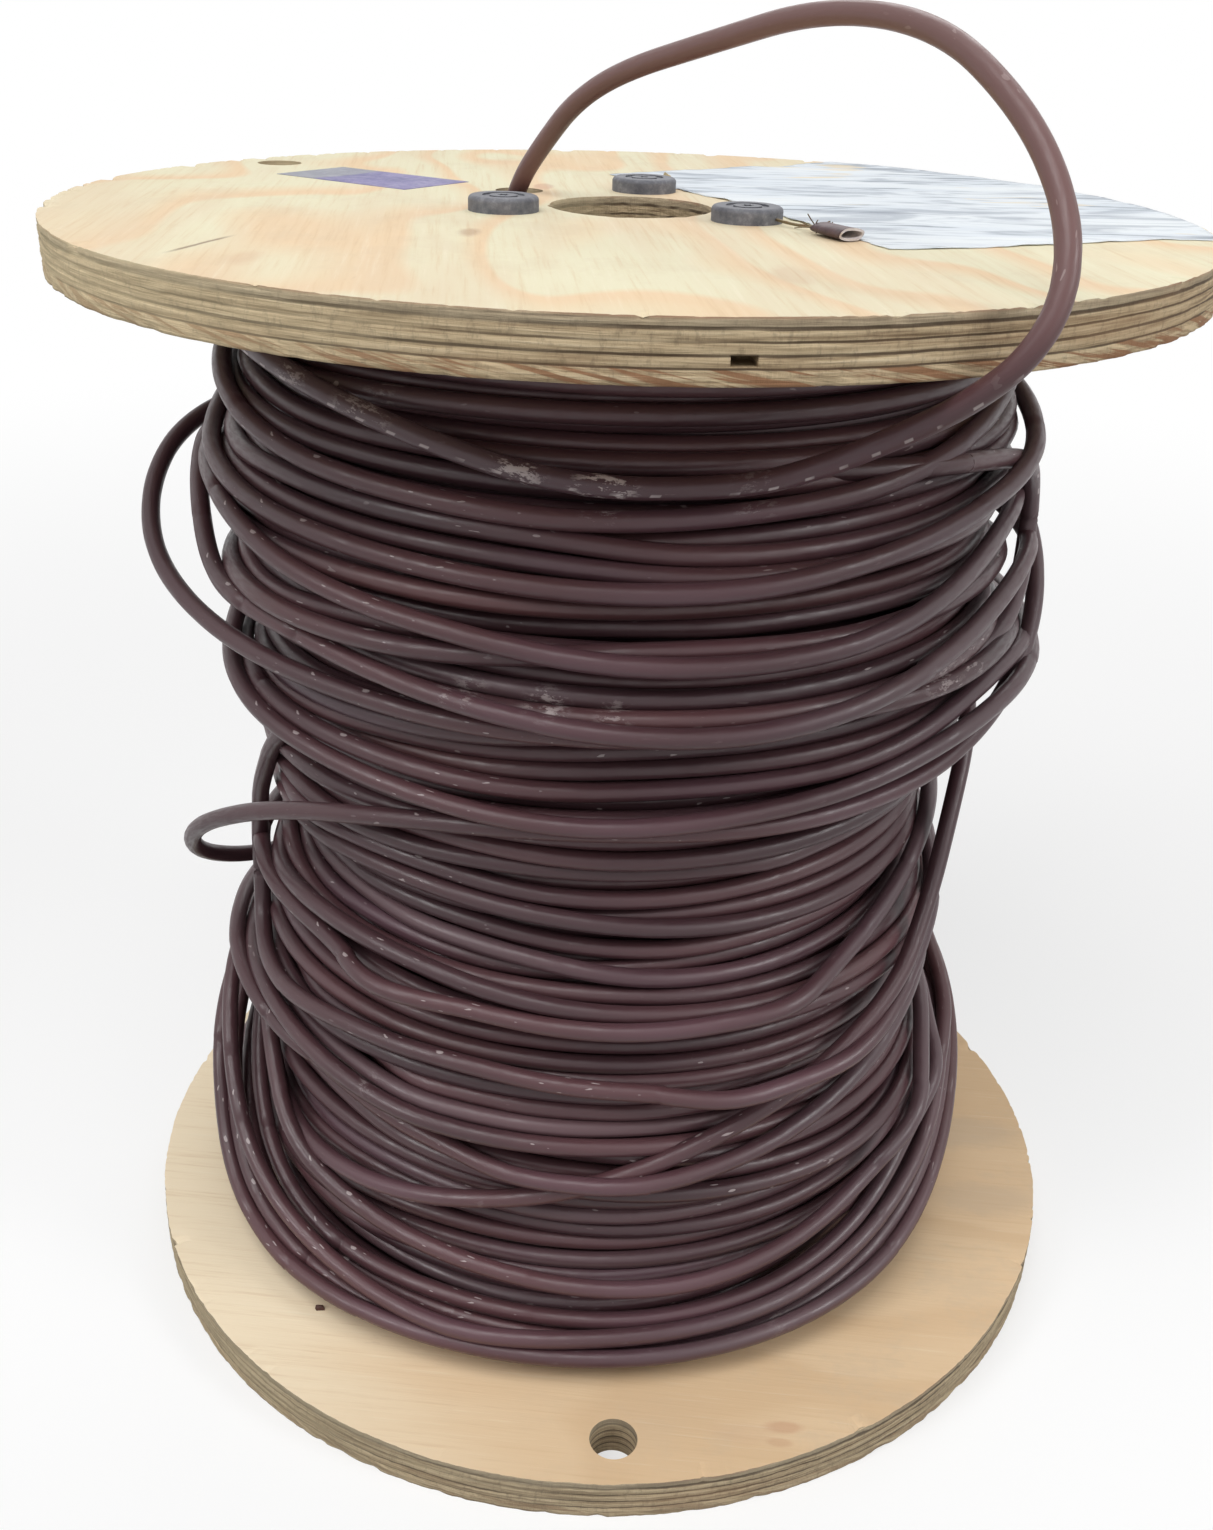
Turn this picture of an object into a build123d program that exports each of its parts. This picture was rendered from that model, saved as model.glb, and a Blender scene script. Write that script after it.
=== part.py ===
from build123d import *
from math import cos, pi, radians, sin, tan
import os

# Cable drum: two round plywood flanges on a fibre barrel, pulled together by three tie
# rods, with a loosely wound multi-core cable. It stands on its lower flange. The origin
# is at the middle of that flange's underside, and +Z is the drum's axis.

# Flanges
FLANGE_DIA = 355.6
FLANGE_THICK = 15.1
TRAVERSE = 349.2
ARBOR_DIA = 50.8
DRIVE_HOLE_DIA = 15.9
DRIVE_HOLE_FROM_RIM = 17.8
DRIVE_TOP_AZIMUTH = 144.4
DRIVE_BOTTOM_AZIMUTH = -87.3
START_HOLE_DIA = 15.9
START_HOLE_INSET = 0.8
START_HOLE_AZIMUTH = 138.7
CORE_GAP_LENGTH = 6.0
CORE_GAP_HEIGHT = 2.4
CORE_GAP_DEPTH = 7.0
CORE_GAP_AZIMUTH = -81.7
CORE_GAP_DROP = 9.5

# Barrel
BARREL_DIA = 101.6
BARREL_WALL = 4.0
BARREL_SEAT_DEPTH = 5.0
BARREL_SEAT_CLEARANCE = 0.25

# Tie rods, their caps and their nuts
ROD_COUNT = 3
ROD_BARREL_GAP = 0.925
ROD_AZIMUTH = 84.5
ROD_DIA = 6.35
ROD_CLEARANCE = 0.2
CAP_DIA = 21.6
CAP_HEIGHT = 4.5
CAP_EDGE_ROUND = 1.4
CAP_RING_OUTER_DIA = 13.0
CAP_RING_INNER_DIA = 8.6
CAP_RING_DEPTH = 0.5
CAP_SOCKET_SIZE = 4.2
CAP_SOCKET_DEPTH = 1.8
NUT_ACROSS_FLATS = 11.1
NUT_THICK = 5.6
NUT_THREAD_CLEARANCE = 0.1
NUT_RECESS_DIA = 19.0
NUT_RECESS_DEPTH = 7.5
ROD_PAST_NUT = 0.9

# Cable and its winding. The outer radii follow the slack build-up from the foot upwards,
# and the ribs are the bands in which the turns bunch.
CABLE_DIA = 6.1
TAIL_BARREL_GAP = 0.65
WINDING_END_GAP = 0.3
WINDING_BORE_GAP = 0.3
TURN_VALLEY = 1.4
FOOT_RADIUS = 123.5
LOWER_RADIUS = 119.5
WAIST_RADIUS = 115.5
BELLY_RADIUS = 125.3
TOP_RADIUS = 121.0

# Paper, sticker, wire and an offcut of empty cable jacket, all on the top flange
LABEL_THICK = 0.25
LABEL_RIM_MARGIN = 1.0
LABEL_ROD_MARGIN = 0.4
STICKER_LENGTH = 59.0
STICKER_WIDTH = 33.0
STICKER_THICK = 0.15
STICKER_CENTRE = (-90.0, 54.7)
STICKER_TURN = -34.0
WIRE_DIA = 0.9
OFFCUT_LENGTH = 15.0
OFFCUT_WIDTH = 8.4
OFFCUT_HEIGHT = 3.4
OFFCUT_WALL = 0.7
OFFCUT_CENTRE = (58.2, -54.5)
OFFCUT_TURN = -62.0

# Ribs of the winding's side: how high up it each crest or valley is, and the radius there.
WINDING_RIBS = [
    (0.06, FOOT_RADIUS - 3.0),
    (0.11, FOOT_RADIUS),
    (0.16, LOWER_RADIUS - 2.0),
    (0.20, LOWER_RADIUS),
    (0.24, LOWER_RADIUS - 4.0),
    (0.28, LOWER_RADIUS - 1.5),
    (0.32, LOWER_RADIUS - 5.0),
    (0.36, WAIST_RADIUS + 1.0),
    (0.40, WAIST_RADIUS - 2.5),
    (0.45, WAIST_RADIUS),
    (0.49, WAIST_RADIUS - 3.5),
    (0.52, WAIST_RADIUS),
    (0.55, WAIST_RADIUS - 1.0),
    (0.59, BELLY_RADIUS - 5.0),
    (0.63, BELLY_RADIUS - 6.5),
    (0.71, BELLY_RADIUS),
    (0.75, BELLY_RADIUS - 2.8),
    (0.79, BELLY_RADIUS),
    (0.85, BELLY_RADIUS - 2.5),
    (0.89, TOP_RADIUS + 3.2),
    (0.93, TOP_RADIUS - 1.5),
    (0.97, TOP_RADIUS + 0.6),
]

UPPER_FLANGE_BASE = FLANGE_THICK + TRAVERSE
TOP_FACE = UPPER_FLANGE_BASE + FLANGE_THICK
FLANGE_RADIUS = FLANGE_DIA / 2
BARREL_RADIUS = BARREL_DIA / 2
CABLE_RADIUS = CABLE_DIA / 2
DRIVE_HOLE_RADIUS = FLANGE_RADIUS - DRIVE_HOLE_FROM_RIM
START_HOLE_RADIUS = BARREL_RADIUS - START_HOLE_INSET
ROD_CIRCLE_DIA = BARREL_DIA - 2 * BARREL_WALL - ROD_DIA - 2 * ROD_BARREL_GAP
TAIL_START_RADIUS = BARREL_RADIUS + CABLE_RADIUS + TAIL_BARREL_GAP


def polar(azimuth, radius, height):
    return (radius * cos(radians(azimuth)), radius * sin(radians(azimuth)), height)


# Routes of the cable where it leaves the winding, as points chosen by hand. The tail
# comes up through the start hole, arches over the rim and lies round the winding's top.
TAIL_ROUTE = [
    polar(START_HOLE_AZIMUTH, TAIL_START_RADIUS, UPPER_FLANGE_BASE + 0.3),
    polar(START_HOLE_AZIMUTH, TAIL_START_RADIUS - 0.4, UPPER_FLANGE_BASE + 8.0),
    (-36.5, 30.5, 384.0),
    (-28.5, 18.5, 396.0),
    (-18.5, 4.0, 409.0),
    (-4.0, -13.0, 419.0),
    (20.0, -41.0, 428.0),
    (47.0, -75.0, 438.0),
    (71.0, -109.0, 436.0),
    (87.0, -137.0, 420.0),
    (95.5, -154.0, 402.0),
    (96.0, -164.0, 385.0),
    (89.0, -168.0, 371.0),
    (78.0, -160.5, 358.5),
    (66.0, -147.5, 347.5),
    (50.0, -134.0, 335.5),
    (30.0, -128.0, 327.5),
    polar(-96, 130, 326.5),
    polar(-116, 130, 336),
    polar(-136, 130, 345),
    polar(-155, 130, 351),
    polar(-171, 127, 354),
    polar(-184, 125.5, 355),
]

# A slack turn that swings far out on the left and stands off on the right.
UPPER_TURN_ROUTE = [
    polar(150, 126.5, 312),
    polar(163, 140, 309),
    polar(174, 155, 301),
    polar(183, 160, 286),
    polar(193, 156, 270),
    polar(207, 143, 259),
    polar(227, 133, 256),
    polar(254, 133, 256),
    polar(281, 133, 256),
    polar(306, 133, 261),
    polar(323, 131, 260),
    polar(334, 132, 259.5),
    polar(344.5, 134.5, 265),
    polar(351, 136, 280),
    polar(351, 135, 298),
    polar(344.5, 132.5, 312),
    polar(332, 130, 320),
    polar(319, 127.8, 324),
]

# A slack turn with a tight bight on the left and a wide one on the right.
MIDDLE_TURN_ROUTE = [
    polar(166, 119.7, 135),
    polar(176, 127, 137),
    polar(184, 141, 144),
    polar(190, 152, 155),
    polar(195, 154, 169),
    polar(203, 148, 186),
    polar(216, 135, 203),
    polar(237, 128, 217),
    polar(264, 128, 224),
    polar(292, 129, 223),
    polar(316, 129, 224),
    polar(332, 134, 232),
    polar(345, 140, 246),
    polar(354, 143, 265),
    polar(362, 140, 284),
    polar(373, 133, 300),
    polar(388, 127.0, 310),
]

# A slack turn that hangs down from the right and goes low round the front and the left.
LOWER_TURN_ROUTE = [
    polar(14, 122.6, 236),
    polar(0, 126, 226),
    polar(-11, 126, 211),
    polar(-20, 124.5, 190),
    polar(-29, 125, 164),
    polar(-41, 128, 141),
    polar(-62, 128, 119),
    polar(-90, 129, 92),
    polar(-117, 131, 74),
    polar(-140, 134, 67),
    polar(-158, 133, 75),
    polar(-172, 132, 87),
    polar(-186, 125, 97),
    polar(-200, 119.4, 102),
]

# A turn that has slid down, lies on the lower flange and stands out on the left.
FOOT_TURN_ROUTE = [
    polar(44, 119.6, 97),
    polar(30, 128, 84),
    polar(12, 132, 60),
    polar(-9, 131, 34),
    polar(-30, 130.5, 21),
    polar(-56, 131.5, 18.6),
    polar(-86, 131.5, 18.6),
    polar(-114, 135, 18.6),
    polar(-138, 144, 18.8),
    polar(-158, 152, 21),
    polar(-179, 158, 30),
    polar(-199, 155, 43),
    polar(-218, 144, 58),
    polar(-235, 131, 68),
    polar(-250, 122.6, 74),
]

# The label's torn outline on the top flange, which the rim trims on the right.
LABEL_OUTLINE = [
    (-8.0, 88.0),
    (12.0, 54.0),
    (37.0, 13.0),
    (47.5, -16.0),
    (66.0, -62.0),
    (70.0, -74.0),
    (82.0, -71.0),
    (118.0, -56.0),
    (190.0, -20.0),
    (190.0, 120.0),
    (110.0, 160.0),
    (58.0, 134.0),
    (24.0, 112.0),
]

# The wire runs from the right-hand cap to the offcut, just above the plywood.
WIRE_ROUTE = [
    (43.0, -32.2, TOP_FACE + 1.6),
    (47.0, -36.5, TOP_FACE + 1.1),
    (50.5, -41.0, TOP_FACE + 1.2),
    (53.0, -45.0, TOP_FACE + 1.7),
    (55.4, -49.3, TOP_FACE + 1.95),
]


def cord_radii(points):
    # Each corner's arc uses 0.45 of the shorter of its two runs.
    corners = [Vector(*point) for point in points]
    radii = []
    for before, corner, after in zip(corners, corners[1:], corners[2:]):
        arriving = corner - before
        leaving = after - corner
        half_turn = radians(arriving.get_angle(leaving) / 2)
        radii.append(0.45 * min(arriving.length, leaving.length) / tan(half_turn))
    return radii


def cord(route_points, diameter, label):
    radii = cord_radii(route_points)
    with BuildPart() as tube:
        with BuildLine():
            path = FilletPolyline(*route_points, radius=radii)
        with BuildSketch(Plane(origin=path @ 0, z_dir=path % 0)):
            Circle(diameter / 2)
        sweep(path=path)
    tube.part.label = label
    section = pi * diameter**2 / 4
    print(label, "length", round(path.length, 1), "smallest radius", round(min(radii), 1),
          "volume ratio", round(tube.part.volume / (section * path.length), 4))
    return tube.part


def flange(base_height, drive_azimuth, groove_height):
    with BuildPart() as board:
        with BuildSketch(Plane.XY.offset(base_height)):
            Circle(FLANGE_RADIUS)
            Circle(ARBOR_DIA / 2, mode=Mode.SUBTRACT)
            with Locations(polar(drive_azimuth, DRIVE_HOLE_RADIUS, 0)):
                Circle(DRIVE_HOLE_DIA / 2, mode=Mode.SUBTRACT)
            with PolarLocations(ROD_CIRCLE_DIA / 2, ROD_COUNT, ROD_AZIMUTH):
                Circle(ROD_DIA / 2 + ROD_CLEARANCE, mode=Mode.SUBTRACT)
        extrude(amount=FLANGE_THICK)
        # The groove that the barrel's end sits in.
        with BuildSketch(Plane.XY.offset(groove_height)):
            Circle(BARREL_RADIUS + BARREL_SEAT_CLEARANCE)
            Circle(BARREL_RADIUS - BARREL_WALL - BARREL_SEAT_CLEARANCE, mode=Mode.SUBTRACT)
        extrude(amount=BARREL_SEAT_DEPTH, mode=Mode.SUBTRACT)
    return board


os.makedirs("parts", exist_ok=True)

# Lower flange, with the recesses that keep the nuts above the floor.
with BuildPart() as bottom_flange:
    add(flange(0, DRIVE_BOTTOM_AZIMUTH, FLANGE_THICK - BARREL_SEAT_DEPTH).part)
    with BuildSketch(Plane.XY):
        with PolarLocations(ROD_CIRCLE_DIA / 2, ROD_COUNT, ROD_AZIMUTH):
            Circle(NUT_RECESS_DIA / 2)
    extrude(amount=NUT_RECESS_DEPTH, mode=Mode.SUBTRACT)
bottom_flange.part.label = "bottom_flange"
export_step(bottom_flange.part, "parts/bottom_flange.step")

# Upper flange, with the start hole beside the barrel and the open gap in a core ply.
with BuildPart() as top_flange:
    add(flange(UPPER_FLANGE_BASE, DRIVE_TOP_AZIMUTH, UPPER_FLANGE_BASE).part)
    with BuildSketch(Plane.XY.offset(UPPER_FLANGE_BASE)):
        with Locations(polar(START_HOLE_AZIMUTH, START_HOLE_RADIUS, 0)):
            Circle(START_HOLE_DIA / 2)
    extrude(amount=FLANGE_THICK, mode=Mode.SUBTRACT)
    gap_face = Plane(
        origin=polar(CORE_GAP_AZIMUTH, FLANGE_RADIUS, TOP_FACE - CORE_GAP_DROP),
        x_dir=(0, 0, 1),
        z_dir=polar(CORE_GAP_AZIMUTH, 1, 0),
    )
    with BuildSketch(gap_face):
        Rectangle(CORE_GAP_HEIGHT, CORE_GAP_LENGTH)
    extrude(amount=CORE_GAP_DEPTH, both=True, mode=Mode.SUBTRACT)
top_flange.part.label = "top_flange"
export_step(top_flange.part, "parts/top_flange.step")

# Fibre barrel between the two grooves.
with BuildPart() as barrel:
    with BuildSketch(Plane.XY.offset(FLANGE_THICK - BARREL_SEAT_DEPTH)):
        Circle(BARREL_RADIUS)
        Circle(BARREL_RADIUS - BARREL_WALL, mode=Mode.SUBTRACT)
    extrude(amount=TRAVERSE + 2 * BARREL_SEAT_DEPTH)
barrel.part.label = "barrel"
export_step(barrel.part, "parts/barrel.step")

# Tie rods: a round cap on the upper flange and a shank down to the nut.
rod_end = NUT_RECESS_DEPTH - NUT_THICK - ROD_PAST_NUT
for number in range(ROD_COUNT):
    rod_centre = polar(ROD_AZIMUTH + number * 360 / ROD_COUNT, ROD_CIRCLE_DIA / 2, 0)
    with BuildPart() as tie_rod:
        with BuildSketch(Plane.XY.offset(TOP_FACE)):
            with Locations(rod_centre):
                Circle(CAP_DIA / 2)
        extrude(amount=CAP_HEIGHT)
        fillet(tie_rod.edges().group_by(Axis.Z)[-1], CAP_EDGE_ROUND)
        with BuildSketch(Plane.XY.offset(TOP_FACE + CAP_HEIGHT)):
            with Locations(rod_centre):
                Circle(CAP_RING_OUTER_DIA / 2)
                Circle(CAP_RING_INNER_DIA / 2, mode=Mode.SUBTRACT)
        extrude(amount=-CAP_RING_DEPTH, mode=Mode.SUBTRACT)
        with BuildSketch(Plane.XY.offset(TOP_FACE + CAP_HEIGHT)):
            with Locations(rod_centre):
                RegularPolygon(CAP_SOCKET_SIZE / 2, 3)
                RegularPolygon(CAP_SOCKET_SIZE / 2, 3, rotation=180)
        extrude(amount=-CAP_SOCKET_DEPTH, mode=Mode.SUBTRACT)
        with BuildSketch(Plane.XY.offset(rod_end)):
            with Locations(rod_centre):
                Circle(ROD_DIA / 2)
        extrude(amount=TOP_FACE - rod_end)
    tie_rod.part.label = f"tie_rod_{number + 1}"
    export_step(tie_rod.part, f"parts/tie_rod_{number + 1}.step")

    with BuildPart() as nut:
        with BuildSketch(Plane.XY.offset(NUT_RECESS_DEPTH - NUT_THICK)):
            with Locations(rod_centre):
                RegularPolygon(NUT_ACROSS_FLATS / 2, 6, major_radius=False)
                Circle(ROD_DIA / 2 + NUT_THREAD_CLEARANCE, mode=Mode.SUBTRACT)
        extrude(amount=NUT_THICK)
    nut.part.label = f"tie_nut_{number + 1}"
    export_step(nut.part, f"parts/tie_nut_{number + 1}.step")

# The winding, turned about the axis. Its two ends show the turns of each layer.
winding_low = FLANGE_THICK + WINDING_END_GAP
winding_high = UPPER_FLANGE_BASE - WINDING_END_GAP
winding_bore = BARREL_RADIUS + WINDING_BORE_GAP


def end_turns(end_height, inwards, outer_radius):
    # Crest and valley points of the turns on one end, from the bore outwards.
    layers = round((outer_radius - winding_bore) / CABLE_DIA)
    pitch = (outer_radius - winding_bore) / layers
    points = [(winding_bore, end_height + inwards * TURN_VALLEY)]
    for layer in range(layers):
        points.append((winding_bore + (layer + 0.5) * pitch, end_height))
        points.append((winding_bore + (layer + 1) * pitch, end_height + inwards * TURN_VALLEY))
    return points


with BuildPart() as cable_winding:
    lower_end = end_turns(winding_low, 1, FOOT_RADIUS)
    upper_end = end_turns(winding_high, -1, TOP_RADIUS)
    with BuildSketch(Plane.XZ):
        with BuildLine():
            Polyline(*lower_end)
            Polyline(
                lower_end[-1],
                (FOOT_RADIUS, winding_low + CABLE_DIA),
                *[(radius, winding_low + share * TRAVERSE) for share, radius in WINDING_RIBS],
                upper_end[-1],
            )
            Polyline(*reversed(upper_end))
            Line(upper_end[0], lower_end[0])
        make_face()
    revolve(axis=Axis.Z)
cable_winding.part.label = "cable_winding"
export_step(cable_winding.part, "parts/cable_winding.step")

# The cable where it stands off the winding.
routes = {
    "cable_tail": TAIL_ROUTE,
    "slack_turn_upper": UPPER_TURN_ROUTE,
    "slack_turn_middle": MIDDLE_TURN_ROUTE,
    "slack_turn_lower": LOWER_TURN_ROUTE,
    "slack_turn_foot": FOOT_TURN_ROUTE,
}
for name, route_points in routes.items():
    export_step(cord(route_points, CABLE_DIA, name), f"parts/{name}.step")

# Paper label, kept clear of the caps that stand through it.
with BuildPart() as paper_label:
    with BuildSketch(Plane.XY.offset(TOP_FACE)):
        with BuildLine():
            Polyline(*LABEL_OUTLINE, close=True)
        make_face()
        Circle(FLANGE_RADIUS - LABEL_RIM_MARGIN, mode=Mode.INTERSECT)
        with PolarLocations(ROD_CIRCLE_DIA / 2, ROD_COUNT, ROD_AZIMUTH):
            Circle(CAP_DIA / 2 + LABEL_ROD_MARGIN, mode=Mode.SUBTRACT)
    extrude(amount=LABEL_THICK)
paper_label.part.label = "paper_label"
export_step(paper_label.part, "parts/paper_label.step")

with BuildPart() as blue_sticker:
    with BuildSketch(Plane.XY.offset(TOP_FACE)):
        with Locations(Location((*STICKER_CENTRE, 0), (0, 0, STICKER_TURN))):
            Rectangle(STICKER_LENGTH, STICKER_WIDTH)
    extrude(amount=STICKER_THICK)
blue_sticker.part.label = "blue_sticker"
export_step(blue_sticker.part, "parts/blue_sticker.step")

export_step(cord(WIRE_ROUTE, WIRE_DIA, "tie_wire"), "parts/tie_wire.step")

# Flattened offcut of cable jacket, open at both ends, lying on the label's edge.
offcut_centre = Vector(*OFFCUT_CENTRE, TOP_FACE + LABEL_THICK + OFFCUT_HEIGHT / 2)
offcut_way = Vector(*polar(OFFCUT_TURN, 1, 0))
with BuildPart() as jacket_offcut:
    with BuildSketch(Plane(offcut_centre - offcut_way * (OFFCUT_LENGTH / 2),
                           x_dir=polar(OFFCUT_TURN + 90, 1, 0), z_dir=offcut_way)):
        SlotOverall(OFFCUT_WIDTH, OFFCUT_HEIGHT)
        SlotOverall(OFFCUT_WIDTH - 2 * OFFCUT_WALL, OFFCUT_HEIGHT - 2 * OFFCUT_WALL, mode=Mode.SUBTRACT)
    extrude(amount=OFFCUT_LENGTH)
jacket_offcut.part.label = "jacket_offcut"
export_step(jacket_offcut.part, "parts/jacket_offcut.step")
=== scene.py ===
import bpy
import bmesh
import math
import numpy as np
from mathutils import Matrix, Vector, noise


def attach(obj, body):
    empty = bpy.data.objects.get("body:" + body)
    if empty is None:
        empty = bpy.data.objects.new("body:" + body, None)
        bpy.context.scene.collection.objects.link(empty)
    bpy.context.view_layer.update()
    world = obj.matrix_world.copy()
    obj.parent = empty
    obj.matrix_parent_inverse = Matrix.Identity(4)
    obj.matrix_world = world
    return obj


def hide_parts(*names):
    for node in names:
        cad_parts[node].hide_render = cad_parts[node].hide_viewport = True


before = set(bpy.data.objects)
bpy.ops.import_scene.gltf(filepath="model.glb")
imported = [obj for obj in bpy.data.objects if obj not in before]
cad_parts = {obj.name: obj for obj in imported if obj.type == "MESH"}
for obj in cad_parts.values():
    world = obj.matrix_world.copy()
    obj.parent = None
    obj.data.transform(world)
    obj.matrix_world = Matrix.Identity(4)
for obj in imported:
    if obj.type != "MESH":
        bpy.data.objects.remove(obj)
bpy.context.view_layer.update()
print("frame loaded")


def addObject(name, data):
    piece = bpy.data.objects.new(name, data)
    bpy.context.scene.collection.objects.link(piece)
    return piece


def plainMesh(name, vertices, edges=(), faces=()):
    mesh = bpy.data.meshes.new(name)
    mesh.from_pydata([tuple(v) for v in vertices], [tuple(e) for e in edges], [tuple(f) for f in faces])
    return addObject(name, mesh)


def keepShape(piece):
    # what the modifiers make becomes the piece's own mesh
    made = bpy.data.meshes.new_from_object(piece.evaluated_get(bpy.context.evaluated_depsgraph_get()))
    piece.modifiers.clear()
    piece.data = made


def facesOut(piece):
    shape = bmesh.new()
    shape.from_mesh(piece.data)
    bmesh.ops.recalc_face_normals(shape, faces=shape.faces)
    shape.to_mesh(piece.data)
    shape.free()


def gridFaces(rows, columns):
    # faces of a grid of vertices that is closed both ways
    return [(i * columns + j, i * columns + (j + 1) % columns,
             (i + 1) % rows * columns + (j + 1) % columns, (i + 1) % rows * columns + j)
            for i in range(rows) for j in range(columns)]


def grit(x, y, scale, level):
    return noise.noise(Vector((x * scale, y * scale, level)))


def polar(azimuth, radius, height):
    turn = math.radians(azimuth)
    return (radius * math.cos(turn), radius * math.sin(turn), height)


# the camera stands where the photograph was taken
camera = {"place": (0.0, -0.51415, 0.44248), "pitch": -26.84, "yaw": -0.26, "roll": 0.0311, "lens": 36.43}


def addCamera():
    pitch, yaw = math.radians(camera["pitch"]), math.radians(camera["yaw"])
    ahead = Vector((math.sin(yaw) * math.cos(pitch), math.cos(yaw) * math.cos(pitch), math.sin(pitch)))
    right = ahead.cross(Vector((0, 0, 1))).normalized()
    up = right.cross(ahead)
    c, s = math.cos(camera["roll"]), math.sin(camera["roll"])
    turn = Matrix((c * right + s * up, c * up - s * right, -ahead)).transposed().to_4x4()
    data = bpy.data.cameras.new("camera")
    data.lens = camera["lens"]
    eye = addObject("camera", data)
    eye.matrix_world = Matrix.Translation(camera["place"]) @ turn
    bpy.context.scene.camera = eye


addCamera()
print("camera set")


class Value:
    # a shader socket that adds its own Math nodes
    def __init__(self, tree, socket):
        self.tree, self.socket = tree, socket

    def maths(self, operation, other=None, first=None):
        node = self.tree.nodes.new("ShaderNodeMath")
        node.operation = operation
        for slot, item in enumerate((self, other) if first is None else (first, self)):
            if isinstance(item, Value):
                self.tree.links.new(item.socket, node.inputs[slot])
            elif item is not None:
                node.inputs[slot].default_value = item
        return Value(self.tree, node.outputs[0])

    def __add__(self, other): return self.maths("ADD", other)
    def __radd__(self, other): return self.maths("ADD", first=other)
    def __sub__(self, other): return self.maths("SUBTRACT", other)
    def __rsub__(self, other): return self.maths("SUBTRACT", first=other)
    def __mul__(self, other): return self.maths("MULTIPLY", other)
    def __rmul__(self, other): return self.maths("MULTIPLY", first=other)
    def __truediv__(self, other): return self.maths("DIVIDE", other)
    def __rtruediv__(self, other): return self.maths("DIVIDE", first=other)
    def __mod__(self, other): return self.maths("FLOORED_MODULO", other)


class Finish:
    # one material being built; its shader's own constants are set straight on the sockets
    def __init__(self, name, **constants):
        self.material = bpy.data.materials.new(name)
        self.material.use_nodes = True
        self.tree = self.material.node_tree
        self.shader = self.tree.nodes["Principled BSDF"]
        for key, value in constants.items():
            self.shader.inputs[key.replace("_", " ")].default_value = value

    def node(self, kind, settings=None, stops=None, out=0, **links):
        made = self.tree.nodes.new(kind)
        for key, value in (settings or {}).items():
            setattr(made, key, value)
        if stops:
            ramp = made.color_ramp
            while len(ramp.elements) < len(stops):
                ramp.elements.new(0.5)
            for element, (position, colour) in zip(ramp.elements, stops):
                element.position, element.color = position, (*colour, 1.0)
        for key, value in links.items():
            found = [i for i in made.inputs if i.identifier == key] or [made.inputs[key.replace("_", " ")]]
            if isinstance(value, Value):
                self.tree.links.new(value.socket, found[0])
            else:
                found[0].default_value = value
        return Value(self.tree, made.outputs[out])

    def place(self, **mapping):
        point = self.node("ShaderNodeTexCoord", out="Object")
        if mapping:
            point = self.node("ShaderNodeMapping", Vector=point, **mapping)
        return point

    def noise(self, point, scale, detail=3.0, roughness=0.55, distortion=0.0):
        if isinstance(scale, tuple):    # one scale for each axis
            point, scale = self.stretch(point, scale), 1.0
        return self.node("ShaderNodeTexNoise", Vector=point, Scale=scale, Detail=detail, Roughness=roughness,
                         Distortion=distortion)

    def ramp(self, value, *stops):
        return self.node("ShaderNodeValToRGB", stops=stops, Fac=value)

    def range(self, value, low, high, least=0.0, most=1.0):
        return self.node("ShaderNodeMapRange", {"interpolation_type": "SMOOTHSTEP"}, Value=value,
                         From_Min=low, From_Max=high, To_Min=least, To_Max=most)

    def mix(self, factor, a, b):
        a, b = [(*c, 1.0) if isinstance(c, tuple) else c for c in (a, b)]
        return self.node("ShaderNodeMix", {"data_type": "RGBA"}, out=2, Factor_Float=factor, A_Color=a, B_Color=b)

    def stretch(self, point, factors):
        return self.node("ShaderNodeVectorMath", {"operation": "MULTIPLY"}, Vector=point, Vector_001=factors)

    def parts(self, point):
        split = self.tree.nodes.new("ShaderNodeSeparateXYZ")
        self.tree.links.new(point.socket, split.inputs[0])
        return [Value(self.tree, axis) for axis in split.outputs]

    def vector(self, x, y, z):
        return self.node("ShaderNodeCombineXYZ", X=x, Y=y, Z=z)

    def finish(self, colour=None, roughness=None, height=None, distance=0.001, strength=1.0, metallic=None):
        for value, key in ((colour, "Base Color"), (roughness, "Roughness"), (metallic, "Metallic")):
            if value is not None:
                self.tree.links.new(value.socket, self.shader.inputs[key])
        if height is not None:
            bump = self.node("ShaderNodeBump", Strength=strength, Distance=distance, Height=height)
            self.tree.links.new(bump.socket, self.shader.inputs["Normal"])
        return self.material


# cable jacket: plum-brown satin plastic, rubbed on the lay of its cores
jacket = {"base": (0.106, 0.047, 0.053), "dark": (0.054, 0.026, 0.031), "red": (0.160, 0.064, 0.060),
          "violet": (0.140, 0.082, 0.112), "rub": (0.58, 0.50, 0.49), "pale": (0.215, 0.145, 0.160),
          "free": (0.225, 0.118, 0.108), "freeHeights": (0.355, 0.400), "lay": 0.0102, "roughness": 0.37,
          # rubbed places: azimuth, radius, height, reach in mm, strength
          "scuffs": [(-92, 131, 327, 11, 1.0), (-102, 131, 330, 10, 0.8), (-122, 131, 341, 13, 0.55),
                     (-134, 131, 346, 9, 0.5), (-74, 131, 327, 12, 0.4), (-108, 135, 268, 9, 0.5),
                     (-98, 135, 266, 9, 0.6), (-90, 135, 264, 8, 0.5), (-45, 136, 263, 11, 0.4),
                     (-38, 136, 264, 9, 0.4), (-126, 133, 118, 7, 0.4), (-62, 134, 24, 10, 0.35),
                     (-112, 134, 26, 8, 0.3)]}


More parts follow.
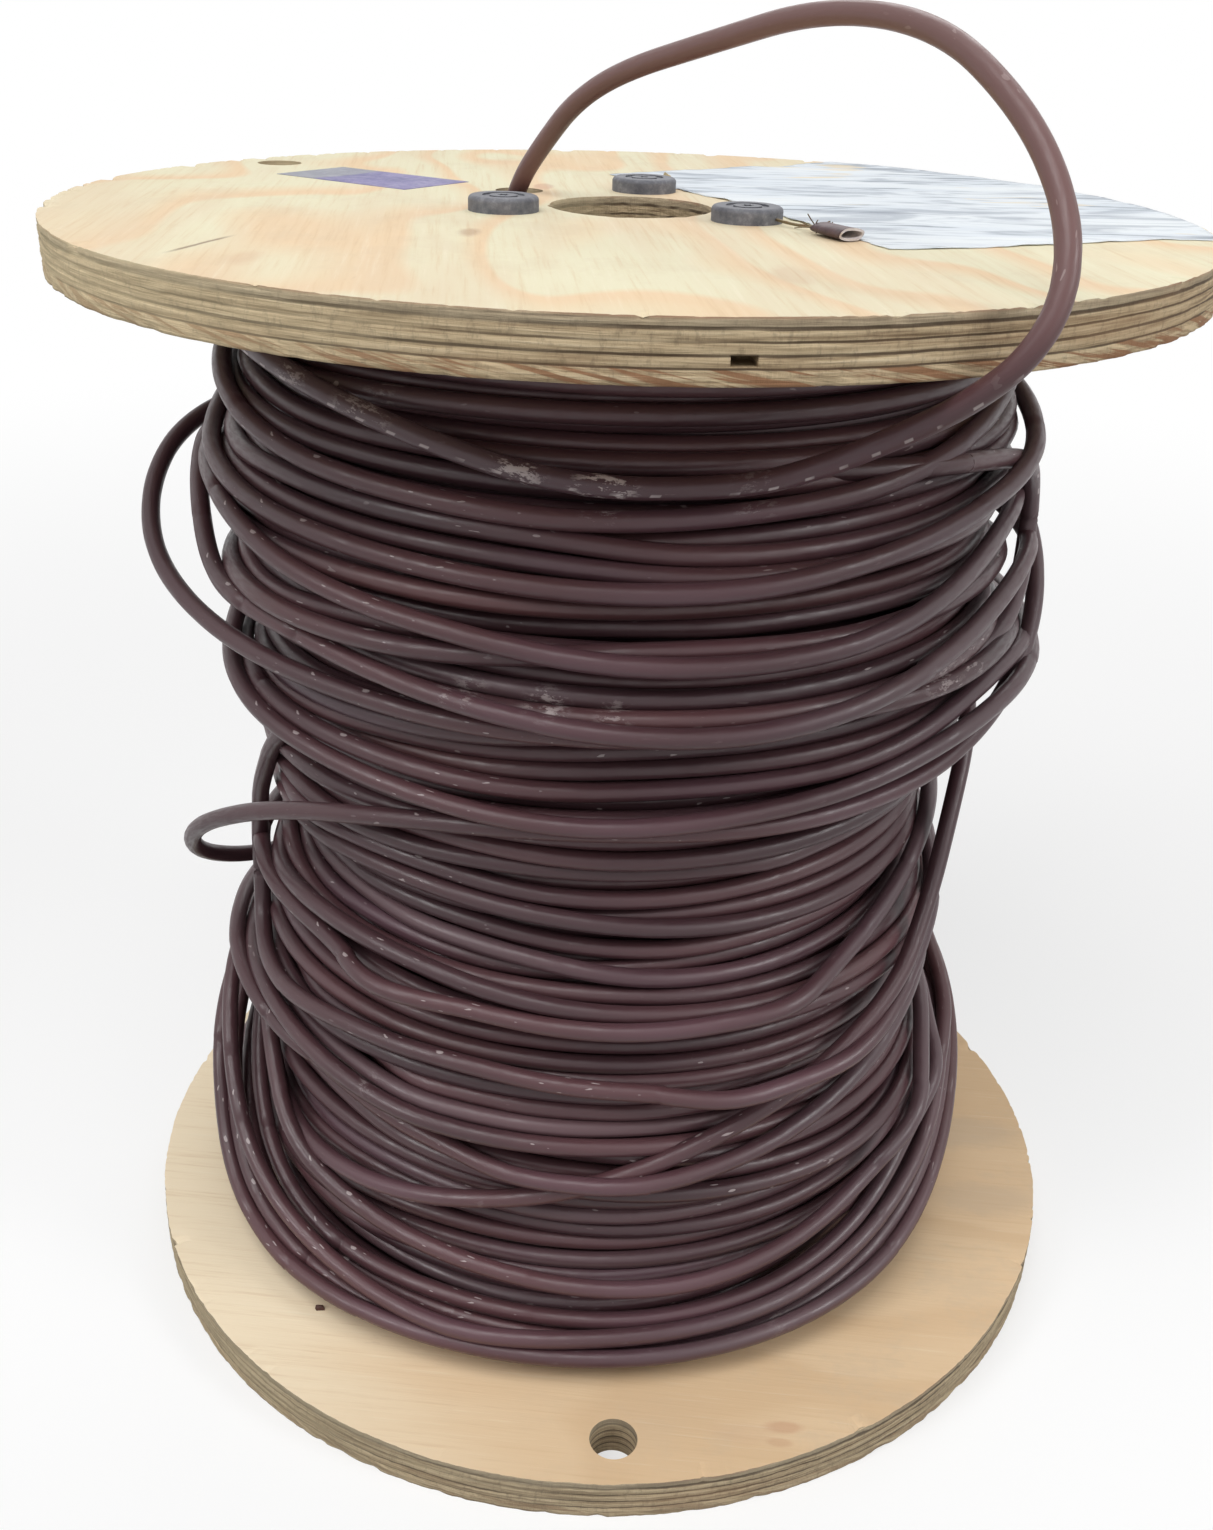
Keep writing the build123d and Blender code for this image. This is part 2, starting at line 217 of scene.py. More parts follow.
def jacketFinish():
    f = Finish("cable_jacket", Specular_IOR_Level=0.46)
    along = f.node("ShaderNodeAttribute", {"attribute_name": "alongCable"}, out="Fac")
    ring = f.node("ShaderNodeAttribute", {"attribute_name": "aroundCable"}, out="Vector")
    c, s = f.parts(ring)[:2]
    around = s.maths("ARCTAN2", c) / (2 * math.pi)
    line = f.vector(along, c * 0.003, s * 0.003)    # every pattern runs along the cable, not across the scene
    broad = f.noise(line, 5.0, 2.0)
    fine = f.noise(f.stretch(line, (60.0, 400.0, 400.0)), 3.0, 3.0)
    colour = f.mix(f.range(broad, 0.35, 0.7), jacket["dark"], jacket["base"])
    colour = f.mix(f.range(f.noise(line, 2.3, 1.0), 0.58, 0.72, 0, 0.55), colour, jacket["red"])
    # short dashes where the cores' lay stands proud and gets rubbed pale, only on some stretches
    beat = (along / jacket["lay"] + around) % 1.0
    dash = f.range(beat, 0.62, 0.66) * f.range(beat, 0.88, 0.93, 1, 0)
    swing = f.noise(line, 1.7, 1.0)
    facing = ((around - swing * 1.1 + 0.62) % 1.0 - 0.5).maths("ABSOLUTE")
    dash = dash * f.range(facing, 0.012, 0.034, 1, 0)
    worn = f.range(f.noise(line, 3.4, 0.0), 0.49, 0.57) * f.range(f.noise(line, 90.0, 1.0), 0.35, 0.5)
    dust = f.range(fine, 0.62, 0.80) * f.range(f.noise(line, 9.0, 2.0), 0.48, 0.75) * 0.30
    colour = f.mix(dust, colour, jacket["rub"])
    colour = f.mix(dash * worn * 0.95, colour, jacket["rub"])
    fleck = f.noise(line, (260.0, 900.0, 900.0), 0.0)
    colour = f.mix(f.range(fleck, 0.78, 0.82) * f.range(f.noise(line, 6.3, 1.0), 0.5, 0.6) * 0.6, colour, jacket["rub"])
    colour = f.mix(f.range(f.noise(line, 3.1, 1.0), 0.56, 0.78, 0, 0.6), colour, jacket["pale"])
    # violet patches along the cable: painted reflection, the bluish sky highlight on the jacket
    colour = f.mix(f.range(f.noise(line, 4.1, 2.0), 0.56, 0.74, 0, 0.5), colour, jacket["violet"])
    spot = f.place()
    high = f.parts(spot)[2]
    # the free end above the board is redder in its own colour, and lighter as painted light where it stands in the open
    colour = f.mix(f.range(high, *jacket["freeHeights"], 0, 0.65), colour, jacket["free"])   # the free end is redder
    scratch = f.noise(line, (210.0, 520.0, 520.0), 4.0, 0.75)
    for azimuth, radius, height, reach, strength in jacket["scuffs"]:
        away = f.node("ShaderNodeVectorMath", {"operation": "DISTANCE"}, out="Value", Vector=spot,
                      Vector_001=[c / 1000 for c in polar(azimuth, radius, height)])
        rubbed = f.range(away, reach / 1000, reach / 4000, 0, strength) * f.range(scratch, 0.50, 0.60)
        colour = f.mix(rubbed, colour, jacket["rub"])
    lay = f.noise(f.vector(along + around * jacket["lay"], c * 0.002, s * 0.002), 180.0, 1.0)
    rough = f.range(fine, 0.3, 0.8, jacket["roughness"] - 0.06, jacket["roughness"] + 0.16)
    return f.finish(colour, rough, lay * 0.6 + fine * 0.4, 0.00035, 0.45)


jacketMaterial = jacketFinish()

# the cable as a tube: lines become curves, and a ring runs along them
tube = {"diameter": 0.0061, "sides": 10}


def tubeTree():
    tree = bpy.data.node_groups.new("cableTube", "GeometryNodeTree")
    sockets = {}
    for name, kind in (("Geometry", "Geometry"), ("Cable Diameter", "Float"), ("Sides", "Int"), ("Finish", "Material")):
        sockets[name] = tree.interface.new_socket(name, in_out="INPUT", socket_type="NodeSocket" + kind).identifier
    tree.interface.new_socket("Geometry", in_out="OUTPUT", socket_type="NodeSocketGeometry")

    def add(kind, values=None, **settings):
        made = tree.nodes.new(kind)
        for key, value in settings.items():
            setattr(made, key, value)
        for key, value in (values or {}).items():
            made.inputs[key].default_value = value
        return made

    given, result = add("NodeGroupInput"), add("NodeGroupOutput")
    lines, upright = add("GeometryNodeMeshToCurve"), add("GeometryNodeSetCurveNormal", mode="Z_UP")
    measured = add("GeometryNodeStoreNamedAttribute", {"Name": "alongCable"}, domain="POINT", data_type="FLOAT")
    ringed = add("GeometryNodeStoreNamedAttribute", {"Name": "aroundCable"}, domain="POINT", data_type="FLOAT_VECTOR")
    length, share = add("GeometryNodeSplineParameter"), add("GeometryNodeSplineParameter")
    half, turn = [add("ShaderNodeMath", {1: factor}, operation="MULTIPLY") for factor in (0.5, 2 * math.pi)]
    cosine, sine = [add("ShaderNodeMath", operation=name) for name in ("COSINE", "SINE")]
    pair, circle = add("ShaderNodeCombineXYZ"), add("GeometryNodeCurvePrimitiveCircle")
    sweep, smooth = add("GeometryNodeCurveToMesh", {"Fill Caps": True}), add("GeometryNodeSetShadeSmooth")
    real, painted = add("GeometryNodeRealizeInstances"), add("GeometryNodeSetMaterial")
    for path in ((given, lines, upright, measured, sweep, smooth, real, painted, result), (circle, ringed)):
        for first, second in zip(path, path[1:]):
            tree.links.new(first.outputs[0], second.inputs[0])
    for first, out, second, into in (
            (length, "Length", measured, "Value"), (given, "Cable Diameter", half, 0), (half, 0, circle, "Radius"),
            (given, "Sides", circle, "Resolution"), (share, "Factor", turn, 0), (turn, 0, cosine, 0),
            (turn, 0, sine, 0), (cosine, 0, pair, 0), (sine, 0, pair, 1), (pair, 0, ringed, "Value"),
            (ringed, 0, sweep, "Profile Curve"), (given, "Finish", painted, "Material")):
        tree.links.new(first.outputs[out], second.inputs[into])
    return tree, sockets


tubeGroup, tubeSockets = tubeTree()


def cableTube(name, lines, diameter=tube["diameter"], sides=tube["sides"], finish=None):
    vertices, edges = [], []
    for line in lines:
        start = len(vertices)
        vertices.extend(line)
        edges.extend((start + i, start + i + 1) for i in range(len(line) - 1))
    piece = plainMesh(name, vertices, edges)
    modifier = piece.modifiers.new("tube", "NODES")
    modifier.node_group = tubeGroup
    for name, value in (("Cable Diameter", diameter), ("Sides", sides), ("Finish", finish or jacketMaterial)):
        modifier[tubeSockets[name]] = value
    keepShape(piece)
    return piece


# cords: the cable where it stands off the winding, on its routes' points (azimuth, radius, height in mm)
tail = {"name": "cable_tail", "length": 0.633, "points": [
    polar(138.7, 54.5, 364.6), polar(138.7, 54.1, 372.3), (-36.5, 30.5, 384.0), (-28.5, 18.5, 396.0),
    (-18.5, 4.0, 409.0), (-4.0, -13.0, 419.0), (20.0, -41.0, 428.0), (47.0, -75.0, 438.0), (71.0, -109.0, 436.0),
    (87.0, -137.0, 420.0), (95.5, -154.0, 402.0), (96.0, -164.0, 385.0), (89.0, -168.0, 371.0), (78.0, -160.5, 358.5),
    (66.0, -147.5, 347.5), (50.0, -134.0, 335.5), (30.0, -128.0, 327.5), polar(-96, 130, 326.5),
    polar(-116, 130, 336), polar(-136, 130, 345), polar(-155, 130, 351), polar(-171, 127, 354),
    polar(-184, 125.5, 355)]}
upperTurn = {"name": "slack_turn_upper", "length": 0.600, "points": [
    polar(150, 126.5, 312), polar(163, 140, 309), polar(174, 155, 301), polar(183, 160, 286), polar(193, 156, 270),
    polar(207, 143, 259), polar(227, 133, 256), polar(254, 133, 256), polar(281, 133, 256), polar(306, 133, 261),
    polar(323, 131, 260), polar(334, 132, 259.5), polar(344.5, 134.5, 265), polar(351, 136, 280), polar(351, 135, 298),
    polar(344.5, 132.5, 312), polar(332, 130, 320), polar(319, 127.8, 324)]}
middleTurn = {"name": "slack_turn_middle", "length": 0.573, "points": [
    polar(166, 119.7, 135), polar(176, 127, 137), polar(184, 141, 144), polar(190, 152, 155), polar(195, 154, 169),
    polar(203, 148, 186), polar(216, 135, 203), polar(237, 128, 217), polar(264, 128, 224), polar(292, 129, 223),
    polar(316, 129, 224), polar(332, 134, 232), polar(345, 140, 246), polar(354, 143, 265), polar(362, 140, 284),
    polar(373, 133, 300), polar(388, 127, 310)]}

lowerTurn = {"name": "slack_turn_lower", "length": 0.529, "points": [
    polar(14, 122.6, 236), polar(0, 126, 226), polar(-11, 126, 211), polar(-20, 124.5, 190), polar(-29, 125, 164),
    polar(-41, 128, 141), polar(-62, 128, 119), polar(-90, 129, 92), polar(-117, 131, 74), polar(-140, 134, 67),
    polar(-158, 133, 75), polar(-172, 132, 87), polar(-186, 125, 97), polar(-200, 119.4, 102)]}
footTurn = {"name": "slack_turn_foot", "length": 0.723, "points": [
    polar(44, 119.6, 97), polar(30, 128, 84), polar(12, 132, 60), polar(-9, 131, 34), polar(-30, 130.5, 21),
    polar(-56, 131.5, 18.6), polar(-86, 131.5, 18.6), polar(-114, 135, 18.6), polar(-138, 144, 18.8),
    polar(-158, 152, 21), polar(-179, 158, 30), polar(-199, 155, 43), polar(-218, 144, 58), polar(-235, 131, 68),
    polar(-250, 122.6, 74)]}


def smoothLine(points, steps=10):
    # the points of a NURBS line with these control points, in metres
    data = bpy.data.curves.new("route", "CURVE")
    data.dimensions, data.resolution_u = "3D", steps
    spline = data.splines.new("NURBS")
    spline.points.add(len(points) - 1)
    for control, (x, y, z) in zip(spline.points, points):
        control.co = (x / 1000, y / 1000, z / 1000, 1.0)
    spline.order_u, spline.use_endpoint_u = 3, True
    holder = addObject("route", data)
    line = [v.co.copy() for v in bpy.data.meshes.new_from_object(holder).vertices]
    bpy.data.objects.remove(holder)
    return line


def addCord(route):
    line = smoothLine(route["points"])
    piece = cableTube(route["name"] + "_run", [line], sides=14)
    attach(piece, "root")
    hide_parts(route["name"])
    return line


cordLines = [addCord(route) for route in (tail, upperTurn, middleTurn, lowerTurn, footTurn)]
print("cords laid")

# the winding: turns are laid one after another on what already lies there
winding = {"foot": 15.1, "top": 364.3, "pitch": 6.35, "passes": 2, "depth": 11.6, "offCentre": 1.6, "seed": 7,
           "profile": [(15, 117), (60, 117), (85, 118), (109, 116), (141, 115.5), (183, 112), (203, 115), (222, 119),
                       (240, 119.5), (262, 124), (284, 124.5), (310, 123), (333, 122), (364, 120)],   # height, radius
           # turns that have slid down and outwards: azimuth, width, height, spread, push
           "slid": [(193, 34, 48, 36, 15.0), (2, 26, 52, 34, 4.0)],
           "samples": 240, "start": 90, "lean": 4.5, "wander": (3.0, 1.2),
           "passEnds": (40.0, 14.0, 1.6), "looseEnds": (22.0, 15.0, 1.7),   # samples, depth, power
           "tuckBetween": (18.3, 361.0), "meanRadius": 125,
           "core": {"bore": 51.1, "foot": 15.4, "top": 364.0, "swell": 1.5, "around": 96}}
rng = np.random.default_rng(winding["seed"])
cableRadius = tube["diameter"] * 500
rowHeights = np.arange(winding["foot"] + 0.5, winding["top"], 1.0)
coreRadii = np.interp(rowHeights, *zip(*winding["profile"])) - winding["depth"]
columnAzimuths = np.arange(winding["samples"]) * 360.0 / winding["samples"]
surface = coreRadii[None, :] - winding["offCentre"] * np.cos(np.radians(columnAzimuths))[:, None]
for azimuth, width, height, spread, push in winding["slid"]:
    apart = (columnAzimuths - azimuth + 180) % 360 - 180
    surface = (surface + push * np.exp(-(apart / width) ** 2)[:, None]
               * np.exp(-((rowHeights - height) / spread) ** 2)[None, :])


lowest, highest = winding["foot"] + cableRadius, winding["top"] - cableRadius   # for a cable's centre


def columnsAt(azimuths):
    return np.round(azimuths / 360.0 * winding["samples"]).astype(int) % winding["samples"]


def rowsAt(heights, step):
    # rows of the surface near these heights, and how much of the cable's round reaches over each
    rows = np.clip(np.floor(heights - winding["foot"]).astype(int) + step, 0, len(rowHeights) - 1)
    gap = cableRadius ** 2 - (rowHeights[rows] - heights) ** 2
    return rows, gap > 0, np.sqrt(np.maximum(gap, 0))


def restRadius(columns, heights):
    # how far out a cable's centre lies when it rests on the surface at these heights
    best = np.full(len(heights), -1e9)
    for step in range(-3, 4):
        rows, under, lift = rowsAt(heights, step)
        best = np.maximum(best, np.where(under, surface[columns, rows] + lift, -1e9))
    return best


def soften(values, reach):
    # a short running mean weighted to the middle, with its ends held
    offsets = np.arange(-3 * reach, 3 * reach + 1)
    weights = np.exp(-offsets ** 2 / (2.0 * reach ** 2))
    padded = np.concatenate([np.full(3 * reach, values[0]), values, np.full(3 * reach, values[-1])])
    return np.convolve(padded, weights / weights.sum(), "valid")


def settle(azimuths, heights, least=None, slide=2.5, stiff=5):
    # one stretch of cable slides into the valleys beside it, then lies on what is there
    columns = columnsAt(azimuths)
    heights = np.clip(heights, lowest, highest)
    shifts = np.arange(-slide, slide + 0.1, 0.5)
    costs = np.array([restRadius(columns, np.clip(heights + s, lowest, highest)) + 0.22 * abs(s) for s in shifts])
    heights = np.clip(heights + soften(shifts[costs.argmin(0)], 6), lowest, highest)
    contact = restRadius(columns, heights)
    radii = contact
    for unused in range(6):
        radii = np.maximum(contact, soften(radii, stiff))
    radii = soften(radii, 2)
    if least is not None:
        radii = np.maximum(radii, least)
    return columns, heights, radii


def press(columns, heights, radii):
    # the cable just laid becomes part of the surface
    for step in range(-3, 5):
        rows, under, lift = rowsAt(heights, step)
        np.maximum.at(surface, (columns, rows), np.where(under, radii + 0.97 * lift, -1e9))


def sinkEnds(radii, samples, depth, power):
    # both ends of a line go down between the turns
    fromEnd = np.minimum(np.arange(len(radii)), np.arange(len(radii))[::-1]) / samples
    return radii - depth * np.clip(1 - fromEnd, 0, 1) ** power


def wave(length, knots):
    # smooth random wandering with that many knots
    marks = rng.normal(0, 1, knots + 3)
    t = np.linspace(0, knots - 1e-6, length)
    i = t.astype(int)
    f = t - i
    return (marks[i] * (1 - f) ** 2 + marks[i + 1] * (1 + 2 * f * (1 - f)) + marks[i + 2] * f ** 2) / 2


def layPass(downwards):
    turns = int((winding["top"] - winding["foot"] - 2 * cableRadius) / winding["pitch"])
    count = winding["samples"]
    t = np.arange(turns * count) / count
    climb = (highest - t * winding["pitch"]) if downwards else (lowest + t * winding["pitch"])
    azimuths = winding["start"] + 360 * t
    lean = winding["lean"] * wave(len(t), turns // 4) * np.sin(np.radians(azimuths))
    lean = lean + winding["lean"] * wave(len(t), turns // 4) * np.cos(np.radians(azimuths))
    broad, narrow = winding["wander"]
    wander = broad * wave(len(t), int(turns * 1.6)) + narrow * wave(len(t), turns * 4)
    heights = climb + lean + wander
    line = []
    for turn in range(turns):
        part = slice(turn * count, (turn + 1) * count)
        columns, settled, radii = settle(azimuths[part], heights[part])
        press(columns, settled, radii)
        line.append(np.stack([azimuths[part], radii, settled], 1))
    line = np.concatenate(line)
    line[:, 1], line[:, 2] = soften(line[:, 1], 2), soften(line[:, 2], 3)
    line[:, 1] = sinkEnds(line[:, 1], *winding["passEnds"])
    return line[::2]


def asPoints(line):
    turn = np.radians(line[:, 0])
    return np.stack([line[:, 1] * np.cos(turn), line[:, 1] * np.sin(turn), line[:, 2]], 1) / 1000


passLines = [layPass(bool(number % 2)) for number in range(winding["passes"])]
print("passes laid")


def pressCord(line, reach=7.0):
    # near the surface a cord counts as laid, so that what is laid later goes over its ends
    spots = np.array([tuple(p) for p in line]) * 1000
    fine = np.concatenate([np.linspace(a, b, 4, endpoint=False) for a, b in zip(spots, spots[1:])])
    azimuths, radii = np.degrees(np.arctan2(fine[:, 1], fine[:, 0])), np.hypot(fine[:, 0], fine[:, 1])
    columns = columnsAt(azimuths)
    inside = (fine[:, 2] > winding["foot"] + 3) & (fine[:, 2] < winding["top"] - 3)
    rows = np.clip((fine[:, 2] - winding["foot"]).astype(int), 0, len(rowHeights) - 1)
    near = inside & (radii - cableRadius - surface[columns, rows] < reach)
    if near.any():
        press(columns[near], fine[near, 2], radii[near])


for line in cordLines:
    pressCord(line)

# loose turns over the passes, inner ones first: azimuth, least radius where the turn stands off, height
looseTurns = {
    "front high": [
        (-235, 330), (-210, 328), (-190, 322), (-170, 312), (-150, 306), (-125, 303), (-95, 301), (-65, 304),
        (-40, 311), (-15, 322), (10, 330), (40, 334)],
    "front cross": [
        (-240, 292), (-205, 296), (-180, 302), (-155, 300), (-120, 288), (-90, 282), (-60, 284), (-30, 293),
        (0, 303), (30, 308), (55, 306)],
    "high slant": [
        (-235, 348), (-205, 346), (-175, 338), (-150, 328), (-125, 320), (-95, 317), (-65, 320), (-40, 329),
        (-15, 338), (10, 341), (45, 340)],
    "second left": [
        (115, 308), (145, 307), (172, 302), (184, 127, 297), (194, 132, 285), (204, 132, 276), (215, 131, 273),
        (226, 131, 271), (242, 131, 267), (262, 131, 264), (285, 131, 263), (310, 131, 269), (330, 277), (350, 283),
        (375, 287), (400, 286)],
    "belly": [
        (-235, 228), (-200, 236), (-175, 240), (-150, 240), (-120, 236), (-90, 234), (-60, 238), (-30, 247),
        (-5, 252), (25, 252), (50, 250)],
    "under belly": [
        (-240, 262), (-205, 258), (-175, 250), (-148, 238), (-120, 228), (-92, 226), (-65, 231), (-40, 240),
        (-15, 246), (15, 248), (45, 244)],
    "left drop": [
        (-142, 117, 232), (-150, 122, 222), (-156, 127, 207), (-163, 128.5, 183), (-167, 130, 160), (-167, 130, 142),
        (-162, 128, 128), (-148, 126, 127), (-132, 125, 132), (-118, 125, 134), (-107, 125, 134), (-95, 125, 131),
        (-81, 125, 129), (-66, 125, 127), (-50, 130), (-35, 140), (-20, 156), (-5, 166), (20, 172), (45, 172)],
    "waist": [
        (-240, 158), (-215, 162), (-195, 164), (-170, 166), (-150, 161), (-132, 124, 156), (-112, 124.5, 154),
        (-90, 124.5, 155), (-73, 124.5, 156), (-58, 124.5, 160), (-44, 166), (-28, 177), (-8, 188), (20, 192),
        (45, 192)],
    "lower left": [
        (-240, 110), (-218, 114), (-200, 118), (-180, 122), (-167, 119), (-152, 127, 112), (-141, 127, 108),
        (-132, 126, 104), (-122, 125, 99), (-110, 124, 96), (-97, 124, 95), (-83, 96), (-60, 101), (-35, 112),
        (-10, 126), (20, 132), (45, 132)],
    "fan 1": [
        (-225, 98), (-200, 126, 112), (-182, 128, 112), (-170, 130, 104), (-160, 132, 92), (-150, 133, 78),
        (-138, 133, 64), (-127, 131, 57), (-114, 130, 54), (-100, 130, 52), (-88, 130, 51), (-72, 130, 52),
        (-56, 129, 58), (-40, 128, 70), (-26, 127, 86), (-12, 98), (5, 104), (30, 108)],
    "fan 2": [
        (-225, 82), (-200, 128, 94), (-184, 132, 92), (-174, 135, 84), (-165, 137, 68), (-156, 138, 54),
        (-146, 137, 42), (-134, 133, 35), (-118, 129, 33), (-100, 127, 33), (-80, 127, 34), (-60, 127, 38),
        (-40, 127, 48), (-24, 127, 64), (-10, 126, 80), (8, 92), (35, 96)],
    "fan 3": [
        (-225, 66), (-202, 132, 74), (-186, 138, 74), (-174, 141, 64), (-165, 142, 50), (-156, 142, 39),
        (-146, 139, 31), (-134, 134, 28), (-118, 129, 27), (-100, 127, 27), (-80, 126, 27), (-60, 126, 29),
        (-40, 126, 36), (-22, 127, 50), (-6, 127, 68), (12, 124, 84), (35, 92), (55, 94)],
    "fan 4": [
        (-240, 70), (-216, 133, 86), (-200, 138, 93), (-186, 142, 90), (-175, 145, 78), (-167, 147, 62),
        (-160, 147, 46), (-150, 145, 34), (-138, 140, 27), (-122, 134, 24), (-106, 130, 24), (-88, 127, 24),
        (-68, 127, 25), (-48, 127, 29), (-30, 128, 40), (-14, 128, 56), (2, 127, 76), (18, 88), (40, 96), (60, 98)],
    "fan 5": [
        (-245, 62), (-222, 134, 76), (-206, 141, 88), (-192, 146, 92), (-180, 149, 84), (-171, 151, 70),
        (-165, 152, 54), (-159, 152, 39), (-150, 150, 29), (-139, 145, 25.5), (-125, 137, 25), (-111, 132, 25.5),
        (-95, 131, 26), (-76, 130, 26), (-56, 129, 27), (-38, 129, 31), (-23, 129, 41), (-9, 130, 57), (5, 129, 75),
        (20, 125, 90), (38, 98), (60, 100)],
    "fan 6": [
        (-240, 80), (-214, 134, 98), (-198, 139, 108), (-184, 143, 107), (-173, 146, 95), (-164, 147, 76),
        (-156, 147, 58), (-147, 145, 45), (-136, 141, 36), (-124, 137, 32), (-110, 133, 32), (-95, 133, 33),
        (-76, 132, 34), (-56, 131, 36), (-38, 131, 42), (-22, 131, 54), (-8, 131, 70), (6, 128, 86), (22, 97),
        (45, 103), (65, 104)],
}


def handLine(points, spacing=3.0):
    # a smooth line through the points, with a spot about every few millimetres
    control = np.array([(p[0], p[1] if len(p) == 3 else 0, p[-1]) for p in points], float)
    spots = []
    ends = np.vstack([2 * control[0] - control[1], control, 2 * control[-1] - control[-2]])
    for p0, p1, p2, p3 in zip(ends, ends[1:], ends[2:], ends[3:]):
        reach = math.dist(polar(p1[0], winding["meanRadius"], p1[2]), polar(p2[0], winding["meanRadius"], p2[2]))
        for f in np.arange(0, 1, spacing / max(reach, spacing)):
            spots.append(0.5 * (2 * p1 + (p2 - p0) * f + (2 * p0 - 5 * p1 + 4 * p2 - p3) * f ** 2
                                + (3 * p1 - p0 - 3 * p2 + p3) * f ** 3))
    return np.array(spots)


def layLoose(points):
    line = handLine(points)
    columns, heights, radii = settle(line[:, 0], line[:, 2], least=line[:, 1], slide=1.0)
    radii, heights = soften(radii, 4), soften(heights, 3)
    press(columns, heights, radii)
    return asPoints(np.stack([line[:, 0], sinkEnds(radii, *winding["looseEnds"]), heights], 1))


looseLines = [layLoose(points) for points in looseTurns.values()]


def tuck(line, atStart, reach=66.0, depth=15.0):
    # the cable goes on from a cord's end and sinks between the turns
    spots = [Vector(p) * 1000 for p in (line[:3] if atStart else line[:-4:-1])]
    end, way = spots[0], (spots[0] - spots[1]).normalized()
    radius, azimuth = math.hypot(end.x, end.y), math.atan2(end.y, end.x)
    outward, sideways = Vector((end.x, end.y, 0)) / radius, Vector((-end.y, end.x, 0)) / radius
    least, most = winding["tuckBetween"]
    points = []
    for s in np.arange(-1.5, reach, 2.5):
        eased = min(1.0, max(0.0, s / reach)) ** 1.6
        r = radius + way.dot(outward) * s * math.exp(-max(s, 0) / 14) - depth * eased
        z = end.z + way.z * s * math.exp(-max(s, 0) / 45)
        points.append(polar(math.degrees(azimuth + way.dot(sideways) * s / radius), r, min(max(z, least), most)))
    return np.array(points) / 1000


looseLines += [tuck(line, True) for line in cordLines[1:]] + [tuck(line, False) for line in cordLines]
print("loose turns laid")


def addWinding():
    outer = cableTube("winding_outer", [asPoints(passLines[-1])])
    inner = cableTube("winding_inner", [asPoints(line) for line in passLines[:-1]])
    loose = cableTube("winding_loose", looseLines)
    # a dark core closes what shows between the turns
    bore, foot, top, swell, around = winding["core"].values()
    ring = [(bore, foot)] + [(float(r) + swell, float(z)) for r, z in zip(coreRadii[::8], rowHeights[::8])]
    ring += [(coreRadii[-1], top), (bore, top)]
    vertices = [Vector(polar(360 * i / around, r, z)) / 1000 for i in range(around) for r, z in ring]
    core = plainMesh("winding_core", vertices, faces=[(a, d, c, b) for a, b, c, d in gridFaces(around, len(ring))])
    for polygon in core.data.polygons:
        polygon.use_smooth = True
    core.data.materials.append(jacketMaterial)
    for piece in (outer, inner, loose, core):
        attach(piece, "root")
    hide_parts("cable_winding")


addWinding()
print("winding built")

# plywood boards
board = {"radius": 177.8, "thick": 15.1, "arbor": 25.4, "plies": (0.0, 3.9, 6.8, 9.7, 12.6, 15.1), "around": 720,
         "upper": 364.3, "rods": [84.5 + 120 * i for i in range(3)], "rodCircle": 42.7, "rodHole": 6.75,
         "bigHole": 15.9, "drive": 160, "driveUpper": 144.4, "driveLower": -87.3, "start": (138.7, 50),
         "gap": {"azimuth": -81.7, "radius": 175.5, "height": 5.6, "size": (0.0062, 0.012, 0.0024)},
         "under": (60, 120, 168, 175.5), "over": (176.6, 174.5, 171.5, 160, 120, 60),   # rings of the two faces
         "wornFrom": 170, "wallFrom": 177, "chipHigh": 2.6, "chipLow": 2.0, "chipIn": 5.8,
         "drillLength": 0.04, "drillSides": 64}
cream, knot, glue = (0.80, 0.75, 0.54), (0.36, 0.19, 0.11), (0.075, 0.050, 0.032)
# stains and patches of painted shade: x, y, reach in mm, strength, colour; cracks: x, y, angle, half length, half
# width, colour
paleFace = {"light": cream, "band": (0.82, 0.62, 0.40), "dark": (0.67, 0.47, 0.28), "blush": (0.74, 0.585, 0.41),
            "left": 0.0, "scale": 1.0, "grey": 0.15, "run": (1.0, 0.4), "quiet": 1.0,
            "stainsAndShade": [(-44.5, -65, 4.5, 0.55, (0.42, 0.25, 0.15)), (-43, 24.5, 4.5, 0.65, (0.50, 0.22, 0.15)),
                       (-30, 46, 4, 0.4, (0.50, 0.24, 0.17)), (-95, -120, 6, 0.35, (0.66, 0.42, 0.26)),
                       (40, -120, 7, 0.3, (0.64, 0.40, 0.26))],
            "cracks": [(-110.5, -100.4, 73, 19, 1.2, (0.22, 0.13, 0.08))]}
tanFace = {"light": (0.76, 0.55, 0.335), "band": (0.70, 0.485, 0.28), "dark": (0.62, 0.41, 0.225),
           "blush": (0.75, 0.525, 0.31), "left": 0.95, "scale": 0.6, "grey": 0.34, "run": (0.4, 1.0), "quiet": 0.15,
           "stainsAndShade": [(64, -153, 3.6, 0.6, (0.56, 0.30, 0.17)), (62, -159, 2.4, 0.5, (0.56, 0.32, 0.18)),
                      (50, -156, 6, 0.2, (0.60, 0.38, 0.24)), (20, -150, 12, 0.2, (0.60, 0.42, 0.26)),
                      # the two grey-brown patches beside the winding on the right are painted shade
                      (151, 0, 13, 0.35, (0.48, 0.38, 0.28)), (155, -40, 11, 0.3, (0.48, 0.38, 0.28))],
           "cracks": []}


